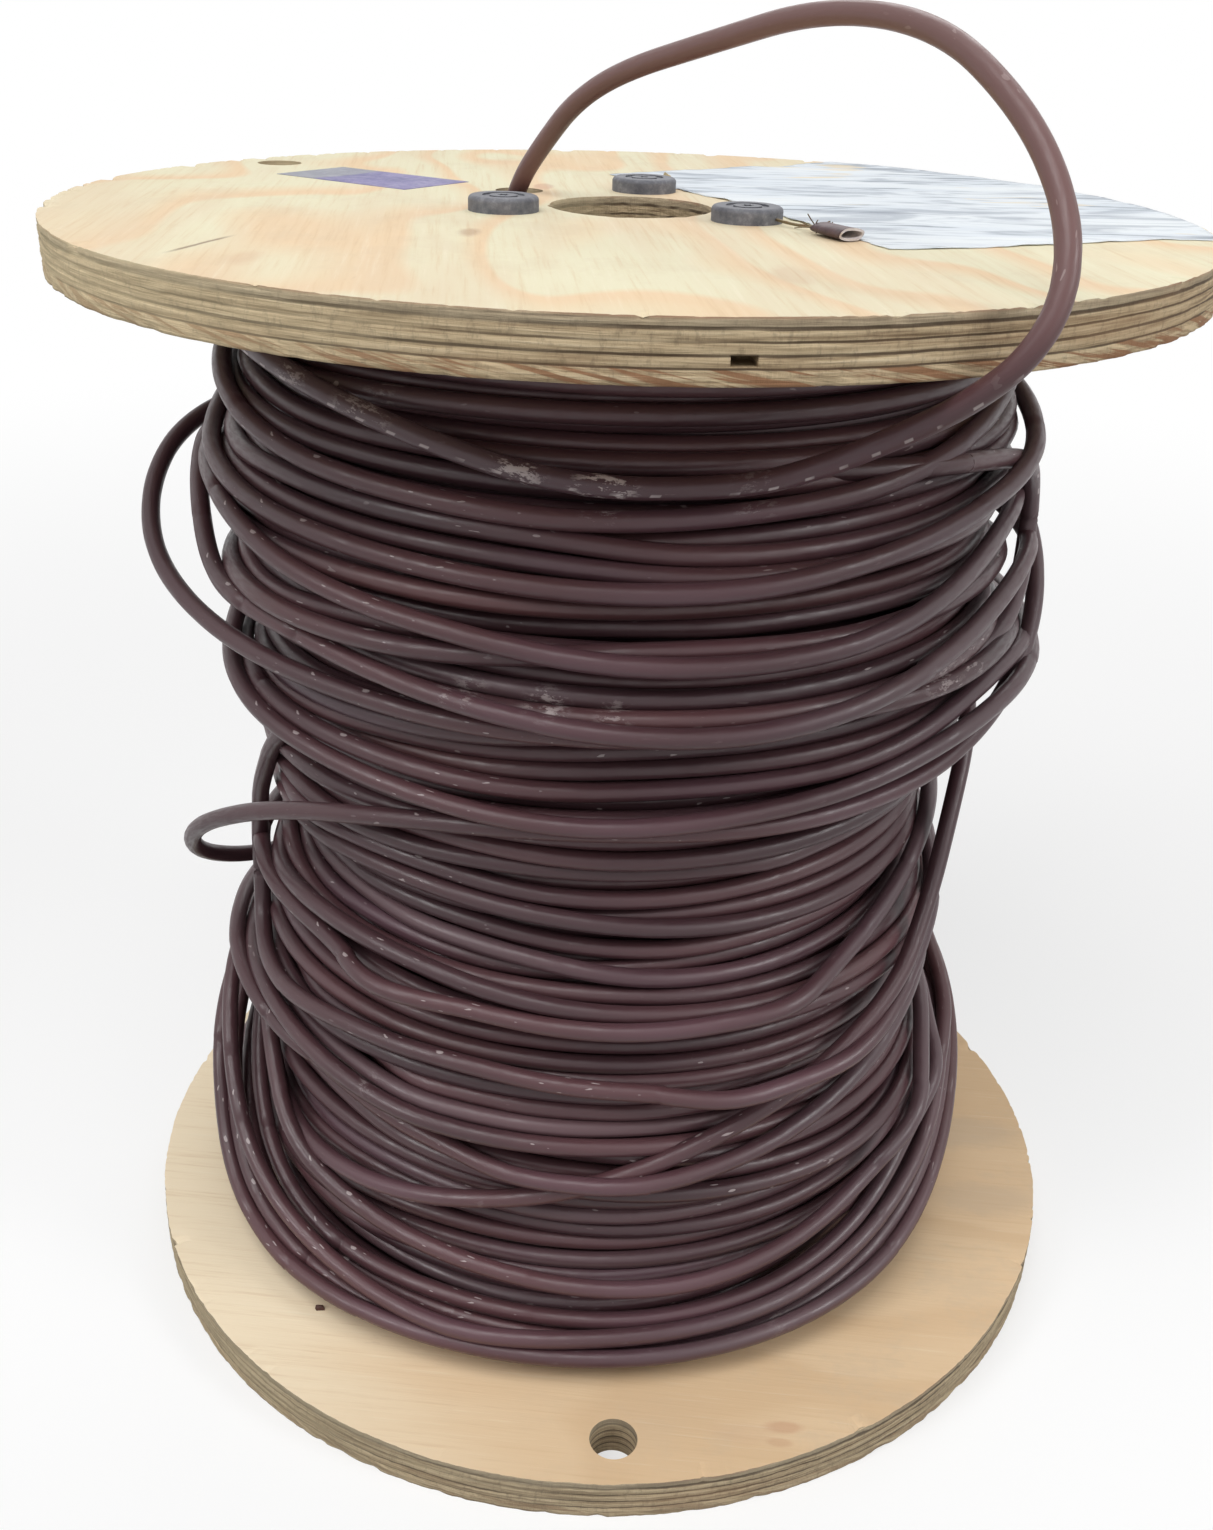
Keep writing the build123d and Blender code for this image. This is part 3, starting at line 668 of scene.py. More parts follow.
def veneerFinish(name, angle, offset, tint, face):
    # rotary-cut pine: broad bands along the grain, soft and wavy, with fine streaks in them
    f = Finish(name, Specular_IOR_Level=0.25)
    point = f.place(Rotation=(0, 0, math.radians(angle)), Location=offset)
    bend = f.noise(f.stretch(point, (2.2, 5.0, 1.0)), 1.6, 2.0)
    x, y, z = f.parts(point)
    figure = f.vector(x * 0.9, y * 7.0 + bend * 2.4, 0.3)
    bands = f.node("ShaderNodeTexWave", {"wave_type": "BANDS", "bands_direction": "Y", "wave_profile": "SAW"},
                   out="Fac", Vector=figure, Scale=face["scale"], Distortion=2.4, Detail=3.0, Detail_Scale=1.0,
                   Detail_Roughness=0.6)
    broad = f.noise(f.stretch(point, (3.0, 14.0, 1.0)), 1.7, 3.0, 0.6)
    fibre = f.noise(point, (22.0, 620.0, 20.0), 4.0, 0.65)
    light, band = face["light"], face["band"]
    colour = f.ramp(bands, (0.0, light), (0.45, light), (0.80, band), (0.90, band), (1.0, light))
    colour = f.mix(f.range(broad, 0.42, 0.72, 0, 0.60), colour, face["blush"])
    ox, oy = f.parts(f.place())[:2]
    # painted light: by this face's share the left side is made lighter and creamier, to make up for the shade that
    # falls there
    colour = f.mix(f.range(ox + (broad - 0.5) * 0.08, -0.01, -0.13, 0, face["left"]), colour, (0.94, 0.80, 0.58))
    colour = f.mix(f.range(fibre, 0.50, 0.78, 0, 0.40), colour, face["dark"])
    colour = f.mix(f.range(fibre, 0.42, 0.24, 0, 0.20), colour, (0.95, 0.88, 0.70))
    grime = f.noise(f.stretch(point, (9.0, 30.0, 1.0)), 3.0, 5.0, 0.7)
    colour = f.mix(f.range(grime, 0.66, 0.82, 0, 0.30), colour, knot)
    mottle = f.noise(point, (24.0, 34.0, 1.0), 5.0, 0.72)
    greyed = f.range(mottle, 0.50, 0.66, 0, face["grey"]) * f.range(ox, -0.07, 0.09, face["quiet"], 1.0)
    colour = f.mix(greyed, colour, (0.60, 0.46, 0.31))
    runX, runY = face["run"]
    for x0, y0, reach, strength, stainAndShadeTone in face["stainsAndShade"]:
        away = f.node("ShaderNodeVectorMath", {"operation": "LENGTH"}, out="Value",
                      Vector=f.vector((ox - x0 / 1000) * runX, (oy - y0 / 1000) * runY, 0.0))
        ragged = away + (mottle - 0.5) * (reach * 0.0016)
        colour = f.mix(f.range(ragged, reach / 1000, reach / 2500, 0, strength), colour, stainAndShadeTone)
    for x0, y0, angle, length, width, crack in face["cracks"]:
        c, s, unused = polar(angle, 1, 0)
        dx, dy = ox * 1000 - x0, oy * 1000 - y0
        lengthwise = (dx * c + dy * s).maths("ABSOLUTE")
        sideways = (dy * c - dx * s + (grime - 0.5) * 2.0).maths("ABSOLUTE")
        opened = f.range(lengthwise, length, length * 0.4) * f.range(sideways, width, width * 0.2) * 0.75
        colour = f.mix(opened, colour, crack)
    colour = f.mix(tint, colour, (0.62, 0.53, 0.42))
    return f.finish(colour, f.range(fibre, 0.3, 0.7, 0.62, 0.80), fibre + bands * 0.15, 0.0004, 0.35)


def rimFinish(name, base, warm, red, shade):
    # cut edge: five plies, end grain and long grain by turns, dark glue lines and weathering
    f = Finish(name, Specular_IOR_Level=0.2)
    x, y, z = f.parts(f.place())
    turn = y.maths("ARCTAN2", x)
    along = turn * 0.178    # metres round the rim
    height = (z - base) * 1000
    wavy = f.vector(along, turn.maths("SINE") * 0.02, z)
    bow = (f.noise(wavy, (16.0, 1.0, 1.0), 3.0) - 0.5) * 1.5
    level = height + bow
    streak = f.noise(wavy, (26.0, 2.0, 900.0), 4.0, 0.65)
    slant = f.noise(f.vector(along * 95 + z * 430, 0.0, z * 120), 1.0, 3.0, 0.6)
    pores = f.noise(wavy, (500.0, 10.0, 260.0), 3.0, 0.7)
    patch = f.noise(wavy, (11.0, 6.0, 90.0), 3.0)
    colour = f.ramp(streak, (0.28, (0.22, 0.15, 0.085)), (0.42, (0.46, 0.345, 0.21)), (0.56, (0.68, 0.535, 0.34)),
                    (0.74, (0.88, 0.73, 0.50)))
    colour = f.mix(f.range(pores, 0.5, 0.7, 0, 0.35), colour, (0.17, 0.12, 0.08))
    lower = f.range(level, 4.3, 3.7)
    colour = f.mix(lower * f.range(slant, 0.48, 0.56, 0, 0.9 * red), colour, (0.33, 0.165, 0.085))
    colour = f.mix(lower * f.range(slant, 0.46, 0.36, 0, 0.85), colour, (0.80, 0.63, 0.40))
    upper = f.range(level, 12.0, 12.8)
    colour = f.mix(upper * 0.45, colour, (0.42, 0.36, 0.27))
    edge = f.range(level, 14.2, 15.2) * f.range(patch, 0.4, 0.6)
    colour = f.mix(edge * 0.7, colour, (0.33, 0.15, 0.09))
    for ply, gap in zip(board["plies"][1:-1], (0.16, 0.20, 0.16, 0.26)):
        line = f.range((level - ply).maths("ABSOLUTE"), gap, gap * 2.4, 1, 0) * f.range(patch, 0.38, 0.56, 0.25, 1.0)
        colour = f.mix(line * 0.9, colour, glue)
    colour = f.mix(f.range(patch, 0.5, 0.75, 0, 0.35), colour, (0.40, 0.24, 0.13))
    colour = f.mix(f.range(turn.maths("COSINE"), 0.0, -0.9, 0, warm), colour, (0.78, 0.66, 0.42))
    if shade:
        colour = f.mix(f.range(patch, 0.2, 0.8, shade, shade * 0.6), colour, (0.17, 0.155, 0.12))
    return f.finish(colour, f.range(streak, 0.3, 0.8, 0.70, 0.88), streak + pores * 0.5, 0.0007, 0.7)


def cutter(at, turn=0.0, radius=0.0, size=None):
    # a box of that size, or else a round bar, to cut with; its place is in mm
    shape = bmesh.new()
    if size:
        bmesh.ops.create_cube(shape, size=1.0)
        bmesh.ops.scale(shape, vec=size, verts=shape.verts)
    else:
        bmesh.ops.create_cone(shape, cap_ends=True, segments=board["drillSides"], radius1=radius, radius2=radius,
                              depth=board["drillLength"])
    bmesh.ops.rotate(shape, cent=(0, 0, 0), matrix=Matrix.Rotation(turn, 3, "Z"), verts=shape.verts)
    bmesh.ops.translate(shape, vec=[c / 1000 for c in at], verts=shape.verts)
    mesh = bpy.data.meshes.new("cutter")
    shape.to_mesh(mesh)
    shape.free()
    return addObject("cutter", mesh)


def addBoard(node, base, cutters, finishes, seed, chips):
    # a turned board whose rim and arbor hole are chipped and rough, inwards only
    thick, radius, inner = board["thick"], board["radius"], board["plies"][1:-1]
    rim = [(radius, h) for h in np.linspace(0, thick, 26)]
    bore = [(board["arbor"], h) for h in np.linspace(thick, 0, 12)]
    under, over = [(r, 0) for r in board["under"]], [(r, thick) for r in board["over"]]
    high, low, deep = board["chipHigh"], board["chipLow"], board["chipIn"]
    ring, around = bore + under + rim + over, board["around"]
    vertices = []
    for i in range(around):
        c, s, unused = polar(360.0 * i / around, 1, 0)
        for r, h in ring:
            if r > board["wornFrom"]:
                chip = max(0.0, grit(c, s, 26, seed + 5.0) * 1.3 - chips) * 4.2
                chip += max(0.0, grit(c, s, 90, seed + 2.0) - 0.25) * 1.1
                if r > board["wallFrom"]:
                    ply = sum(h > p + 0.6 * grit(c, s, 9, seed) for p in inner)
                    gap = min(abs(h - p) for p in inner)
                    r -= 0.25 + 0.30 * grit(c, s, 14, seed + ply * 7.0) + 0.22 * (1 + grit(c, s, 70, h * 1.1 + seed))
                    r -= 0.35 * math.exp(-(gap / 0.35) ** 2) * (1 + grit(c, s, 20, ply))   # the glue lines lie deeper
                    if h > thick - high:
                        r -= min(2.4, chip) * ((h - thick + high) / high) ** 0.7
                    if h < low:
                        r -= 0.6 * max(0.0, grit(c, s, 30, seed + 11.0)) * (low - h)
                if h > thick - 0.01:
                    h -= min(1.6, chip * 0.9) * max(0.0, (r - radius + deep) / deep)
            elif r == board["arbor"]:
                r += 0.15 + 0.35 * (1 + grit(c, s, 5, h * 0.9 + seed)) * 0.5
                r += max(0.0, grit(c, s, 3.2, seed + 1) - 0.1) * 2.2 * (1 if h > thick - 3 else 0.25)
            vertices.append(Vector((r * c, r * s, base + h)) / 1000)
    n = len(ring)
    piece = plainMesh(node + "_board", vertices, faces=gridFaces(around, n))
    facesOut(piece)
    for finish in finishes:
        piece.data.materials.append(finish)
    for polygon in piece.data.polygons:
        j = polygon.index % n
        top, below = j >= n - len(over) - 1, len(bore) - 1 <= j < len(bore) + len(under) - 1
        polygon.material_index = 0 if top else 1 if below else 2
        polygon.use_smooth = not (top or below)
    for tool in cutters:
        tool.data.materials.append(finishes[2])
        modifier = piece.modifiers.new("hole", "BOOLEAN")
        modifier.operation, modifier.solver, modifier.object = "DIFFERENCE", "EXACT", tool
        modifier.material_mode = "TRANSFER"
    keepShape(piece)
    for tool in cutters:
        bpy.data.objects.remove(tool)
    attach(piece, "root")
    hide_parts(node)


def hole(azimuth, radius, diameter, base):
    return cutter(polar(azimuth, radius, base + board["thick"] / 2), radius=diameter / 2000)


def addBoards():
    upper, gap, big = board["upper"], board["gap"], board["bigHole"]
    upperTop = veneerFinish("veneer_upper_top", 84, (0.02, 0.03, 0), 0.02, paleFace)
    upperUnder = veneerFinish("veneer_upper_under", -12, (0.3, 0.1, 0), 0.25, tanFace)
    lowerTop = veneerFinish("veneer_lower_top", 5, (0.5, 0.2, 0), 0.12, tanFace)
    lowerUnder = veneerFinish("veneer_lower_under", 40, (0.1, 0.7, 0), 0.25, tanFace)
    slot = cutter(polar(gap["azimuth"], gap["radius"], upper + gap["height"]), math.radians(gap["azimuth"] + 90),
                  size=gap["size"])
    rods = [[hole(a, board["rodCircle"], board["rodHole"], base) for a in board["rods"]] for base in (upper, 0.0)]
    upperCuts = [hole(board["driveUpper"], board["drive"], big, upper), hole(*board["start"], big, upper), slot]
    addBoard("top_flange", upper, upperCuts + rods[0],
             [upperTop, upperUnder, rimFinish("rim_upper", upper / 1000, 0.45, 1.0, 0.0)], 3.0, 0.42)
    addBoard("bottom_flange", 0.0, [hole(board["driveLower"], board["drive"], big, 0.0)] + rods[1],
             [lowerTop, lowerUnder, rimFinish("rim_lower", 0.0, 0.2, 0.3, 0.40)], 21.0, 0.62)


addBoards()
print("boards built")

# paper label, torn and scuffed, with nothing printed on it
label = {"top": 379.4, "thick": 0.16, "lift": 0.5, "grid": 4.0, "rim": 176.6, "torn": 1.3, "capGap": 11.6,
         "step": 2.2, "cutFrom": 172, "across": ((0, -20, 180), (1, -80, 165)),
         "outline": [(-8, 88), (2, 70), (12, 54), (24, 34), (37, 13), (44, -5), (47.5, -16), (57, -40), (66, -62),
                     (70, -74), (82, -71), (100, -64), (118, -56), (140, -45), (156, -37)],
         "far": [(58, 134), (40, 124), (24, 112), (8, 99)]}


def labelFinish():
    f = Finish("paper", Specular_IOR_Level=0.3)
    point = f.place(Rotation=(0, 0, math.radians(-4)))
    smear = f.noise(point, (9.0, 46.0, 1.0), 4.0, 0.65)
    blot = f.noise(point, (20.0, 60.0, 1.0), 3.0, 0.6, 0.6)
    line = f.noise(point, (30.0, 320.0, 1.0), 2.0, 0.6)
    fibre = f.noise(point, 900.0, 2.0)
    colour = f.ramp(smear, (0.30, (0.62, 0.68, 0.74)), (0.48, (0.74, 0.79, 0.84)), (0.70, (0.84, 0.88, 0.90)))
    colour = f.mix(f.range(blot, 0.52, 0.68, 0, 0.70), colour, (0.38, 0.42, 0.48))
    colour = f.mix(f.range(line, 0.52, 0.60, 0, 0.75) * f.range(smear, 0.58, 0.46), colour, (0.24, 0.27, 0.32))
    colour = f.mix(f.range(blot, 0.40, 0.30, 0, 0.75), colour, (0.80, 0.68, 0.48))
    return f.finish(colour, f.range(fibre, 0.3, 0.7, 0.72, 0.86), fibre * 0.4 + smear, 0.0006, 0.5)


def addLabel():
    rimPoints = [polar(a, label["rim"], 0)[:2] for a in range(-12, 66, 3)]
    shore = []
    corners = label["outline"] + rimPoints + label["far"]
    for i, (x0, y0) in enumerate(corners):
        x1, y1 = corners[(i + 1) % len(corners)]
        steps = max(1, int(math.hypot(x1 - x0, y1 - y0) / label["step"]))
        for k in range(steps):
            x, y = x0 + (x1 - x0) * k / steps, y0 + (y1 - y0) * k / steps
            if math.hypot(x, y) < label["cutFrom"]:    # not where the knife followed the board's rim
                x, y = x + grit(x, y, 0.22, 4) * label["torn"], y + grit(x, y, 0.22, 9) * label["torn"]
            shore.append((x, y))
    mesh = bpy.data.meshes.new("paper_label_sheet")
    shape = bmesh.new()
    shape.faces.new([shape.verts.new((x / 1000, y / 1000, 0)) for x, y in shore])
    for axis, low, high in label["across"]:
        for cut in np.arange(low, high, label["grid"]):
            normal, spot = [0, 0, 0], [0, 0, 0]
            normal[axis], spot[axis] = 1, cut / 1000
            bmesh.ops.bisect_plane(shape, geom=shape.verts[:] + shape.edges[:] + shape.faces[:],
                                   plane_co=spot, plane_no=normal)
    caps = [polar(azimuth, board["rodCircle"], 0) for azimuth in board["rods"]]
    gone = [v for v in shape.verts
            if any(math.hypot(v.co.x * 1000 - x, v.co.y * 1000 - y) < label["capGap"] for x, y, z in caps)]
    bmesh.ops.delete(shape, geom=gone, context="VERTS")
    edge = {v for e in shape.edges if e.is_boundary for v in e.verts}
    near = {u for v in edge for e in v.link_edges for u in e.verts}
    for v in shape.verts:
        x, y = v.co.x * 1000, v.co.y * 1000
        ripple = 0.5 + 0.5 * grit(x, y, 0.05, 2) + 0.25 * grit(x, y, 0.2, 6)
        lift = label["lift"] if v in edge else label["lift"] * 0.4 if v in near else 0.0
        tear = max(0.0, grit(x, y, 0.06, 15) + 0.15)
        v.co.z = (label["top"] + 0.05 + 0.14 * ripple + lift * tear) / 1000
    bmesh.ops.recalc_face_normals(shape, faces=shape.faces)
    if sum(face.normal.z for face in shape.faces) < 0:
        bmesh.ops.reverse_faces(shape, faces=shape.faces)
    shape.to_mesh(mesh)
    shape.free()
    piece = addObject("paper_label_sheet", mesh)
    wall = piece.modifiers.new("thickness", "SOLIDIFY")
    wall.thickness, wall.offset = label["thick"] / 1000, 1.0
    keepShape(piece)
    piece.data.materials.clear()
    piece.data.materials.append(labelFinish())
    for polygon in piece.data.polygons:
        polygon.use_smooth = True
    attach(piece, "root")
    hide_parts("paper_label")


addLabel()
print("label laid")

# blue sticker, its left third worn grey
sticker = {"centre": (-0.090, 0.0547), "turn": -34.0, "wornTo": (-0.0095, -0.0125), "blue": (0.125, 0.115, 0.27),
           "violet": (0.21, 0.185, 0.37), "grey": (0.25, 0.255, 0.30), "bloom": (0.45, 0.43, 0.55)}


def stickerFinish():
    f = Finish("sticker", Specular_IOR_Level=0.45)
    turn = math.radians(-sticker["turn"])
    centre = Matrix.Rotation(turn, 3, "Z") @ Vector((*sticker["centre"], 0))
    point = f.place(Rotation=(0, 0, turn), Location=-centre)
    x = f.parts(point)[0]
    worn = f.noise(point, (60.0, 60.0, 1.0), 4.0, 0.7)
    fleck = f.noise(point, (220.0, 260.0, 1.0), 3.0, 0.7)
    colour = f.mix(f.range(worn, 0.35, 0.65), sticker["blue"], sticker["violet"])
    colour = f.mix(f.range(x + (worn - 0.5) * 0.008, *sticker["wornTo"]), colour, sticker["grey"])
    colour = f.mix(f.range(fleck, 0.60, 0.74, 0, 0.5), colour, sticker["bloom"])
    colour = f.mix(f.range(worn, 0.70, 0.80, 0, 0.8), colour, cream)
    return f.finish(colour, f.range(fleck, 0.3, 0.7, 0.38, 0.62), worn + fleck * 0.5, 0.0004, 0.4)


# rod caps, nuts and barrel keep their solid shapes
def capFinish():
    f = Finish("cap_steel", Specular_IOR_Level=0.4)
    point = f.place()
    dust = f.noise(point, 240.0, 4.0, 0.7)
    scuff = f.noise(point, (300.0, 60.0, 900.0), 3.0, 0.6)
    colour = f.ramp(dust, (0.35, (0.095, 0.098, 0.118)), (0.55, (0.165, 0.168, 0.190)), (0.75, (0.29, 0.29, 0.31)))
    colour = f.mix(f.range(scuff, 0.62, 0.78, 0, 0.45), colour, (0.22, 0.21, 0.20))
    return f.finish(colour, f.range(dust, 0.3, 0.7, 0.46, 0.66), dust + scuff * 0.4, 0.0003, 0.45)


def steelFinish(name, colour, rust):
    f = Finish(name, Metallic=0.85)
    spots = f.noise(f.place(), 500.0, 4.0, 0.7)
    tone = f.mix(f.range(spots, 0.5, 0.7, 0, rust), colour, (0.20, 0.09, 0.035))
    return f.finish(tone, f.range(spots, 0.3, 0.7, 0.32, 0.60), spots, 0.0002, 0.4)


def fibreFinish():
    f = Finish("fibre", Specular_IOR_Level=0.2)
    wound = f.noise(f.place(), (40.0, 40.0, 260.0), 4.0, 0.6)
    colour = f.ramp(wound, (0.3, (0.24, 0.15, 0.085)), (0.55, (0.36, 0.24, 0.14)), (0.8, (0.46, 0.33, 0.21)))
    return f.finish(colour, f.range(wound, 0.3, 0.7, 0.75, 0.9), wound, 0.0004, 0.5)


def paint(node, material):
    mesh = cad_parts[node].data
    mesh.materials.clear()
    mesh.materials.append(material)


capMaterial, nutMaterial = capFinish(), steelFinish("nut_steel", (0.42, 0.42, 0.43), 0.6)
for number in (1, 2, 3):
    paint(f"tie_rod_{number}", capMaterial)
    paint(f"tie_nut_{number}", nutMaterial)
paint("barrel", fibreFinish())
paint("blue_sticker", stickerFinish())
print("caps, nuts, barrel and sticker finished")

# wire from the right-hand cap with a frayed bit, and the empty jacket offcut on it
wire = {"diameter": 0.0009, "frays": 9, "fray": 0.00035, "fraySeed": 3, "frayLength": 0.0050,
        "frayFrom": 0.3806, "frayMiddle": 0.3811, "frayLowest": 0.37965,
        "points": [(43, -32.2, 381.0), (47, -36.5, 380.5), (50.5, -41, 380.6), (53, -45, 381.1), (55.4, -49.3, 381.35)]}
offcut = {"centre": (58.2, -54.5), "turn": -62.0, "length": 15.0, "width": 8.4, "height": 3.4, "wall": 0.7,
          "seat": 379.66, "around": 44, "along": 16}


def addWire():
    line = smoothLine(wire["points"])
    random = np.random.default_rng(wire["fraySeed"])
    middle = Vector(wire["points"][3]) / 1000
    frays = []
    for unused in range(wire["frays"]):
        start = middle + Vector(random.normal(0, 0.0006, 3))
        start.z = wire["frayFrom"] + abs(start.z - wire["frayMiddle"])
        way = (random.normal(0.4, 0.5), random.normal(-0.8, 0.5), abs(random.normal(0.1, 0.25)))
        way, bend = Vector(way).normalized(), Vector(random.normal(0, 0.0010, 3))
        fray = [start + way * wire["frayLength"] * k / 6 + bend * (k / 6) ** 2 for k in range(7)]
        frays.append([Vector((p.x, p.y, max(p.z, wire["frayLowest"]))) for p in fray])    # none goes into the board
    finish = steelFinish("wire", (0.22, 0.17, 0.10), 0.8)
    piece = cableTube("tie_wire_run", [line], wire["diameter"], 8, finish)
    frayed = cableTube("tie_wire_frays", frays, wire["fray"], 5, finish)
    for part in (piece, frayed):
        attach(part, "root")
    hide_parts("tie_wire")


def addOffcut():
    around, along, halfHeight = offcut["around"], offcut["along"], offcut["height"] / 2
    way, side = Vector(polar(offcut["turn"], 1, 0)), Vector(polar(offcut["turn"] + 90, 1, 0))
    rows = [("out", k) for k in range(along)] + [("in", k) for k in reversed(range(along))]
    vertices = []
    for skin, k in rows:
        t = k / (along - 1)
        inset = 0.0 if skin == "out" else offcut["wall"]
        w = offcut["width"] / 2 - inset - 0.35 * math.sin(t * 5 + 1) ** 2
        h = halfHeight - inset - 0.30 * (1 - t) * (1 if skin == "out" else 0.6)
        for i in range(around):
            a = 2 * math.pi * i / around
            c, s = math.cos(a), math.sin(a)
            u = math.copysign(abs(c) ** 0.72, c) * w
            v = math.copysign(abs(s) ** 0.95, s) * h + 0.12 * math.sin(2.2 * a + 4 * t) * (1 - t)
            reach = (t - 0.5) * offcut["length"] + 0.35 * math.sin(3 * a) * (1 if k in (0, along - 1) else 0)
            spot = Vector((*offcut["centre"], offcut["seat"] + halfHeight)) + way * reach + side * u
            vertices.append((spot + Vector((0, 0, max(v, -halfHeight)))) / 1000)
    n = len(rows)
    piece = plainMesh("jacket_offcut_shell", vertices, faces=gridFaces(n, around))
    facesOut(piece)
    skin = Finish("offcut_jacket", Specular_IOR_Level=0.4)
    mottle = skin.noise(skin.place(), 420.0, 3.0)
    tone = skin.ramp(mottle, (0.3, (0.060, 0.036, 0.040)), (0.7, (0.125, 0.075, 0.080)))
    outside = skin.finish(tone, None, mottle, 0.0003, 0.4)
    lining = Finish("offcut_lining", Specular_IOR_Level=0.3)
    chalk = lining.noise(lining.place(), 600.0, 3.0)
    tone = lining.ramp(chalk, (0.3, (0.56, 0.50, 0.49)), (0.7, (0.74, 0.70, 0.68)))
    inside = lining.finish(tone, None, chalk, 0.0002, 0.3)
    piece.data.materials.append(outside)
    piece.data.materials.append(inside)
    for polygon in piece.data.polygons:
        row = polygon.index // around
        polygon.material_index = 0 if row < along - 1 else 1
        polygon.use_smooth = row not in (along - 1, n - 1)
    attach(piece, "root")
    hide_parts("jacket_offcut")


addWire()
addOffcut()
print("wire and offcut built")

# small splinters: a dark one on the lower board, a pale one standing behind the rear cap
splinters = [{"name": "splinter_dark", "at": (-98, -109, 15.0), "tip": (-1.2, 0.8, 1.6), "size": (3.0, 1.4),
              "colour": (0.10, 0.045, 0.035)},
             {"name": "splinter_pale", "at": (13.0, 55.5, 379.3), "tip": (-1.8, 0.3, 5.0), "size": (3.0, 1.0),
              "colour": (0.62, 0.50, 0.30)}]


def addSplinter(spec):
    x, y, z = spec["at"]
    w, d = spec["size"]
    tx, ty, tz = spec["tip"]
    base = [(x - w / 2, y - d / 2, z), (x + w / 2, y - d * 0.3, z),
            (x + w * 0.4, y + d / 2, z), (x - w * 0.45, y + d * 0.35, z)]
    middle = [(px + tx * 0.5, py + ty * 0.5, z + tz * (0.55 + 0.1 * i)) for i, (px, py, pz) in enumerate(base)]
    vertices = [Vector(p) / 1000 for p in base + middle + [(x + tx, y + ty, z + tz)]]
    faces = [(3, 2, 1, 0)] + [(i, (i + 1) % 4, 4 + (i + 1) % 4, 4 + i) for i in range(4)]
    faces += [(4 + i, 4 + (i + 1) % 4, 8) for i in range(4)]
    piece = plainMesh(spec["name"], vertices, faces=faces)
    f = Finish(spec["name"] + "_wood", Specular_IOR_Level=0.2)
    grain = f.noise(f.place(), (900.0, 900.0, 200.0), 3.0)
    dark = tuple(c * 0.6 for c in spec["colour"])
    tone = f.ramp(grain, (0.3, dark), (0.7, spec["colour"]))
    piece.data.materials.append(f.finish(tone, None, grain, 0.0003, 0.5))
    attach(piece, "root")


for spec in splinters:
    addSplinter(spec)
print("splinters set")

# floor, backdrop and light
studio = {"floor": 0.94, "bounce": 0.42, "world": 0.40, "fade": (0.35, 1.5), "nearShare": 0.55, "half": 4,
          # name, place, size, watts; all look at the drum's middle
          "lamps": [("key", (-0.45, -0.80, 2.10), 1.3, 20.5), ("fill", (1.2, -1.0, 1.0), 1.2, 4.0),
                    ("rear", (0.3, 1.3, 1.6), 1.2, 7.5)], "aim": (0, 0, 0.25),
          # spots that reach the lower board and the lowest turns, under the upper board
          "low": [("low_left", (-0.95, -0.60, 0.80), 0.25, 28.0), ("low_right", (1.05, -0.45, 0.80), 0.25, 28.0)],
          "lowAim": (0.0, -0.04, 0.02), "lowCone": 26.0}


def seenWays(tree):
    ways = tree.nodes.new("ShaderNodeLightPath")
    both = Value(tree, ways.outputs["Is Camera Ray"]).maths("MAXIMUM", Value(tree, ways.outputs["Is Glossy Ray"]))
    return both.maths("MAXIMUM", Value(tree, ways.outputs["Is Transmission Ray"]))


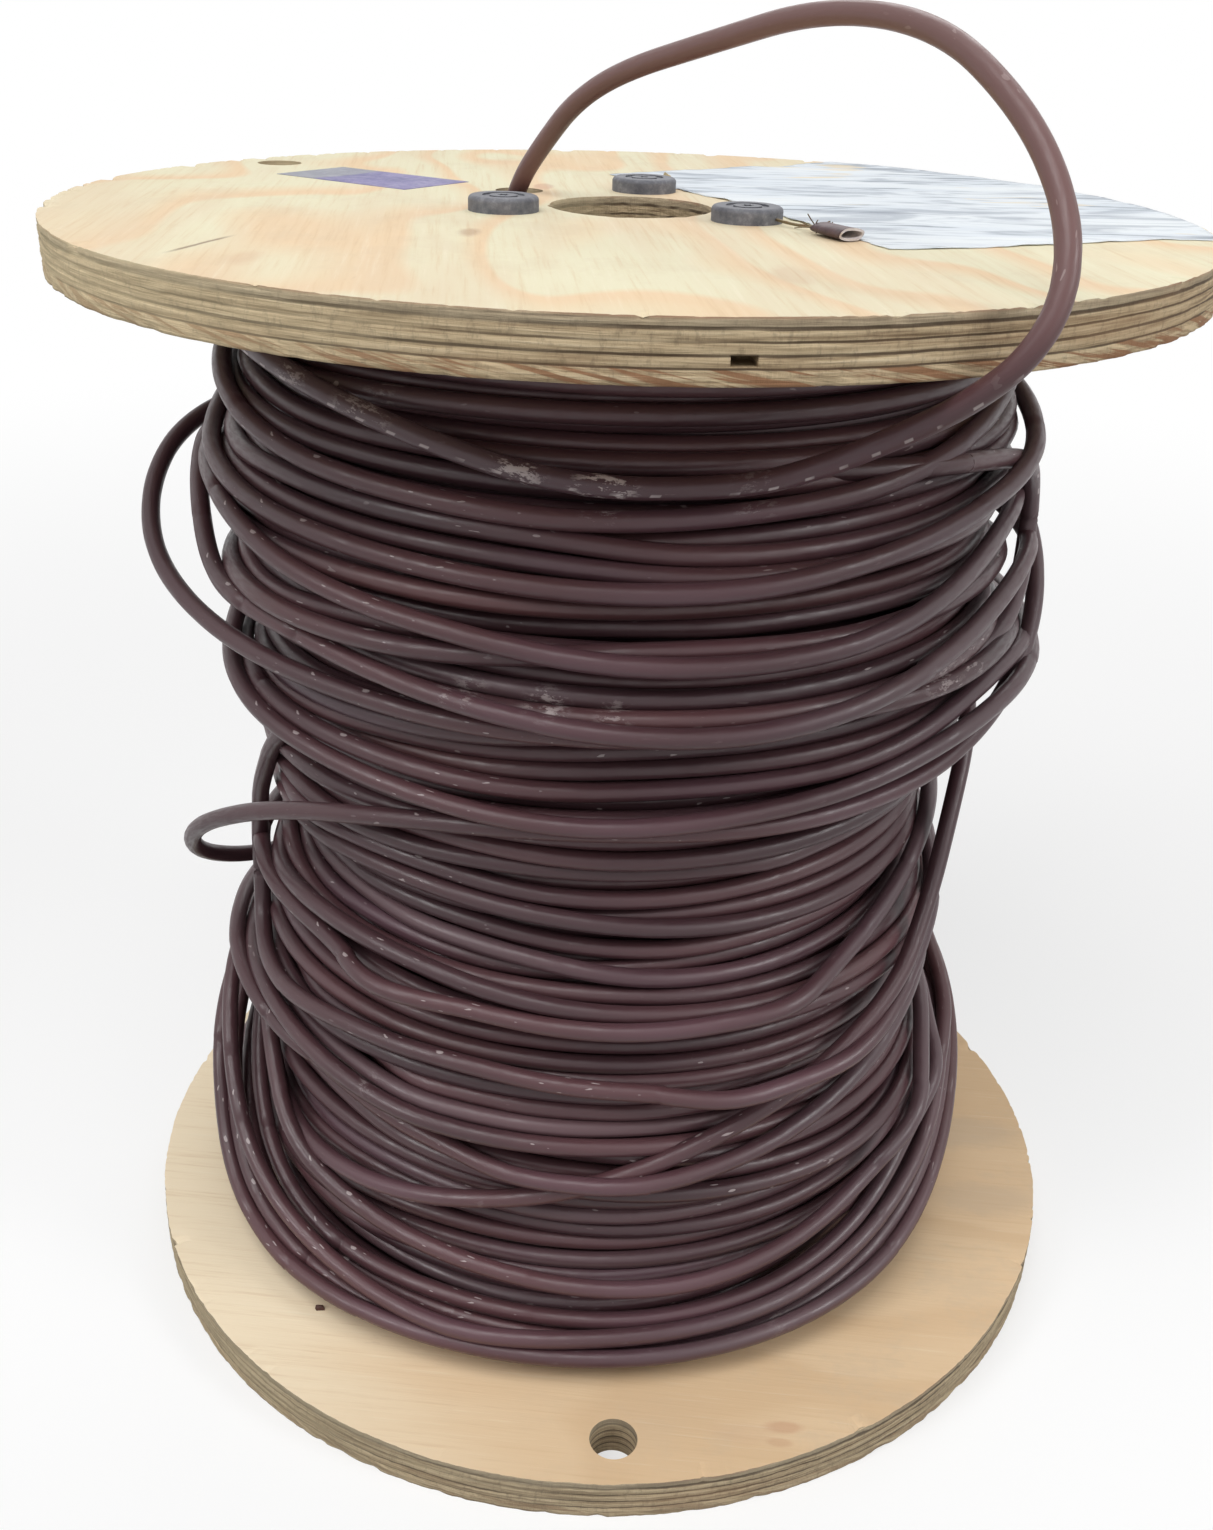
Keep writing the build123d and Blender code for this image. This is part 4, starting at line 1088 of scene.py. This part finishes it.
def floorPaint():
    # pale with the drum's shadow near it, white further off; what it throws back onto the drum is dimmer
    f = Finish("floor_paint", Base_Color=(studio["bounce"],) * 3 + (1.0,), Roughness=1.0, Specular_IOR_Level=0.0)
    x, y = f.parts(f.place())[:2]
    away = (x * x + y * y).maths("SQRT")
    near = f.node("ShaderNodeBsdfDiffuse", Color=(studio["floor"],) * 3 + (1.0,))
    far = f.node("ShaderNodeEmission", Color=(1, 1, 1, 1), Strength=1.0)
    whiter = f.range(away, *studio["fade"], studio["nearShare"], 1.0)
    seen = f.node("ShaderNodeMixShader", Fac=whiter, Shader=near, Shader_001=far)
    plain = Value(f.tree, f.shader.outputs[0])
    both = f.node("ShaderNodeMixShader", Fac=seenWays(f.tree), Shader=plain, Shader_001=seen)
    f.tree.links.new(both.socket, f.tree.nodes["Material Output"].inputs["Surface"])
    return f.material


def addLamp(kind, name, place, size, watts, aim):
    lamp = bpy.data.lights.new(name, kind)
    lamp.energy = watts
    if kind == "SPOT":
        lamp.spot_size, lamp.spot_blend, lamp.shadow_soft_size = math.radians(studio["lowCone"]), 1.0, size
    else:
        lamp.size = size
    holder = addObject(name, lamp)
    holder.location = place
    holder.rotation_euler = (Vector(aim) - Vector(place)).to_track_quat("-Z", "Y").to_euler()


def addStage():
    half = studio["half"]
    corners = [(-half, -half, 0), (half, -half, 0), (half, half, 0), (-half, half, 0)]
    floor = plainMesh("floor", corners, faces=[(0, 1, 2, 3)])
    floor.data.materials.append(floorPaint())
    world = bpy.data.worlds.new("studio")
    bpy.context.scene.world = world
    world.use_nodes = True
    tree = world.node_tree
    tree.nodes.clear()
    both = seenWays(tree)
    plain, white = tree.nodes.new("ShaderNodeBackground"), tree.nodes.new("ShaderNodeBackground")
    blend, out = tree.nodes.new("ShaderNodeMixShader"), tree.nodes.new("ShaderNodeOutputWorld")
    for node, strength, into in ((plain, studio["world"], 1), (white, 1.0, 2)):
        node.inputs["Strength"].default_value, node.inputs["Color"].default_value = strength, (1, 1, 1, 1)
        tree.links.new(node.outputs[0], blend.inputs[into])
    tree.links.new(both.socket, blend.inputs[0])
    tree.links.new(blend.outputs[0], out.inputs[0])
    for lamp in studio["lamps"]:
        addLamp("AREA", *lamp, studio["aim"])
    for lamp in studio["low"]:
        addLamp("SPOT", *lamp, studio["lowAim"])
    bpy.context.scene.view_settings.view_transform = "Standard"


addStage()
print("scene done")
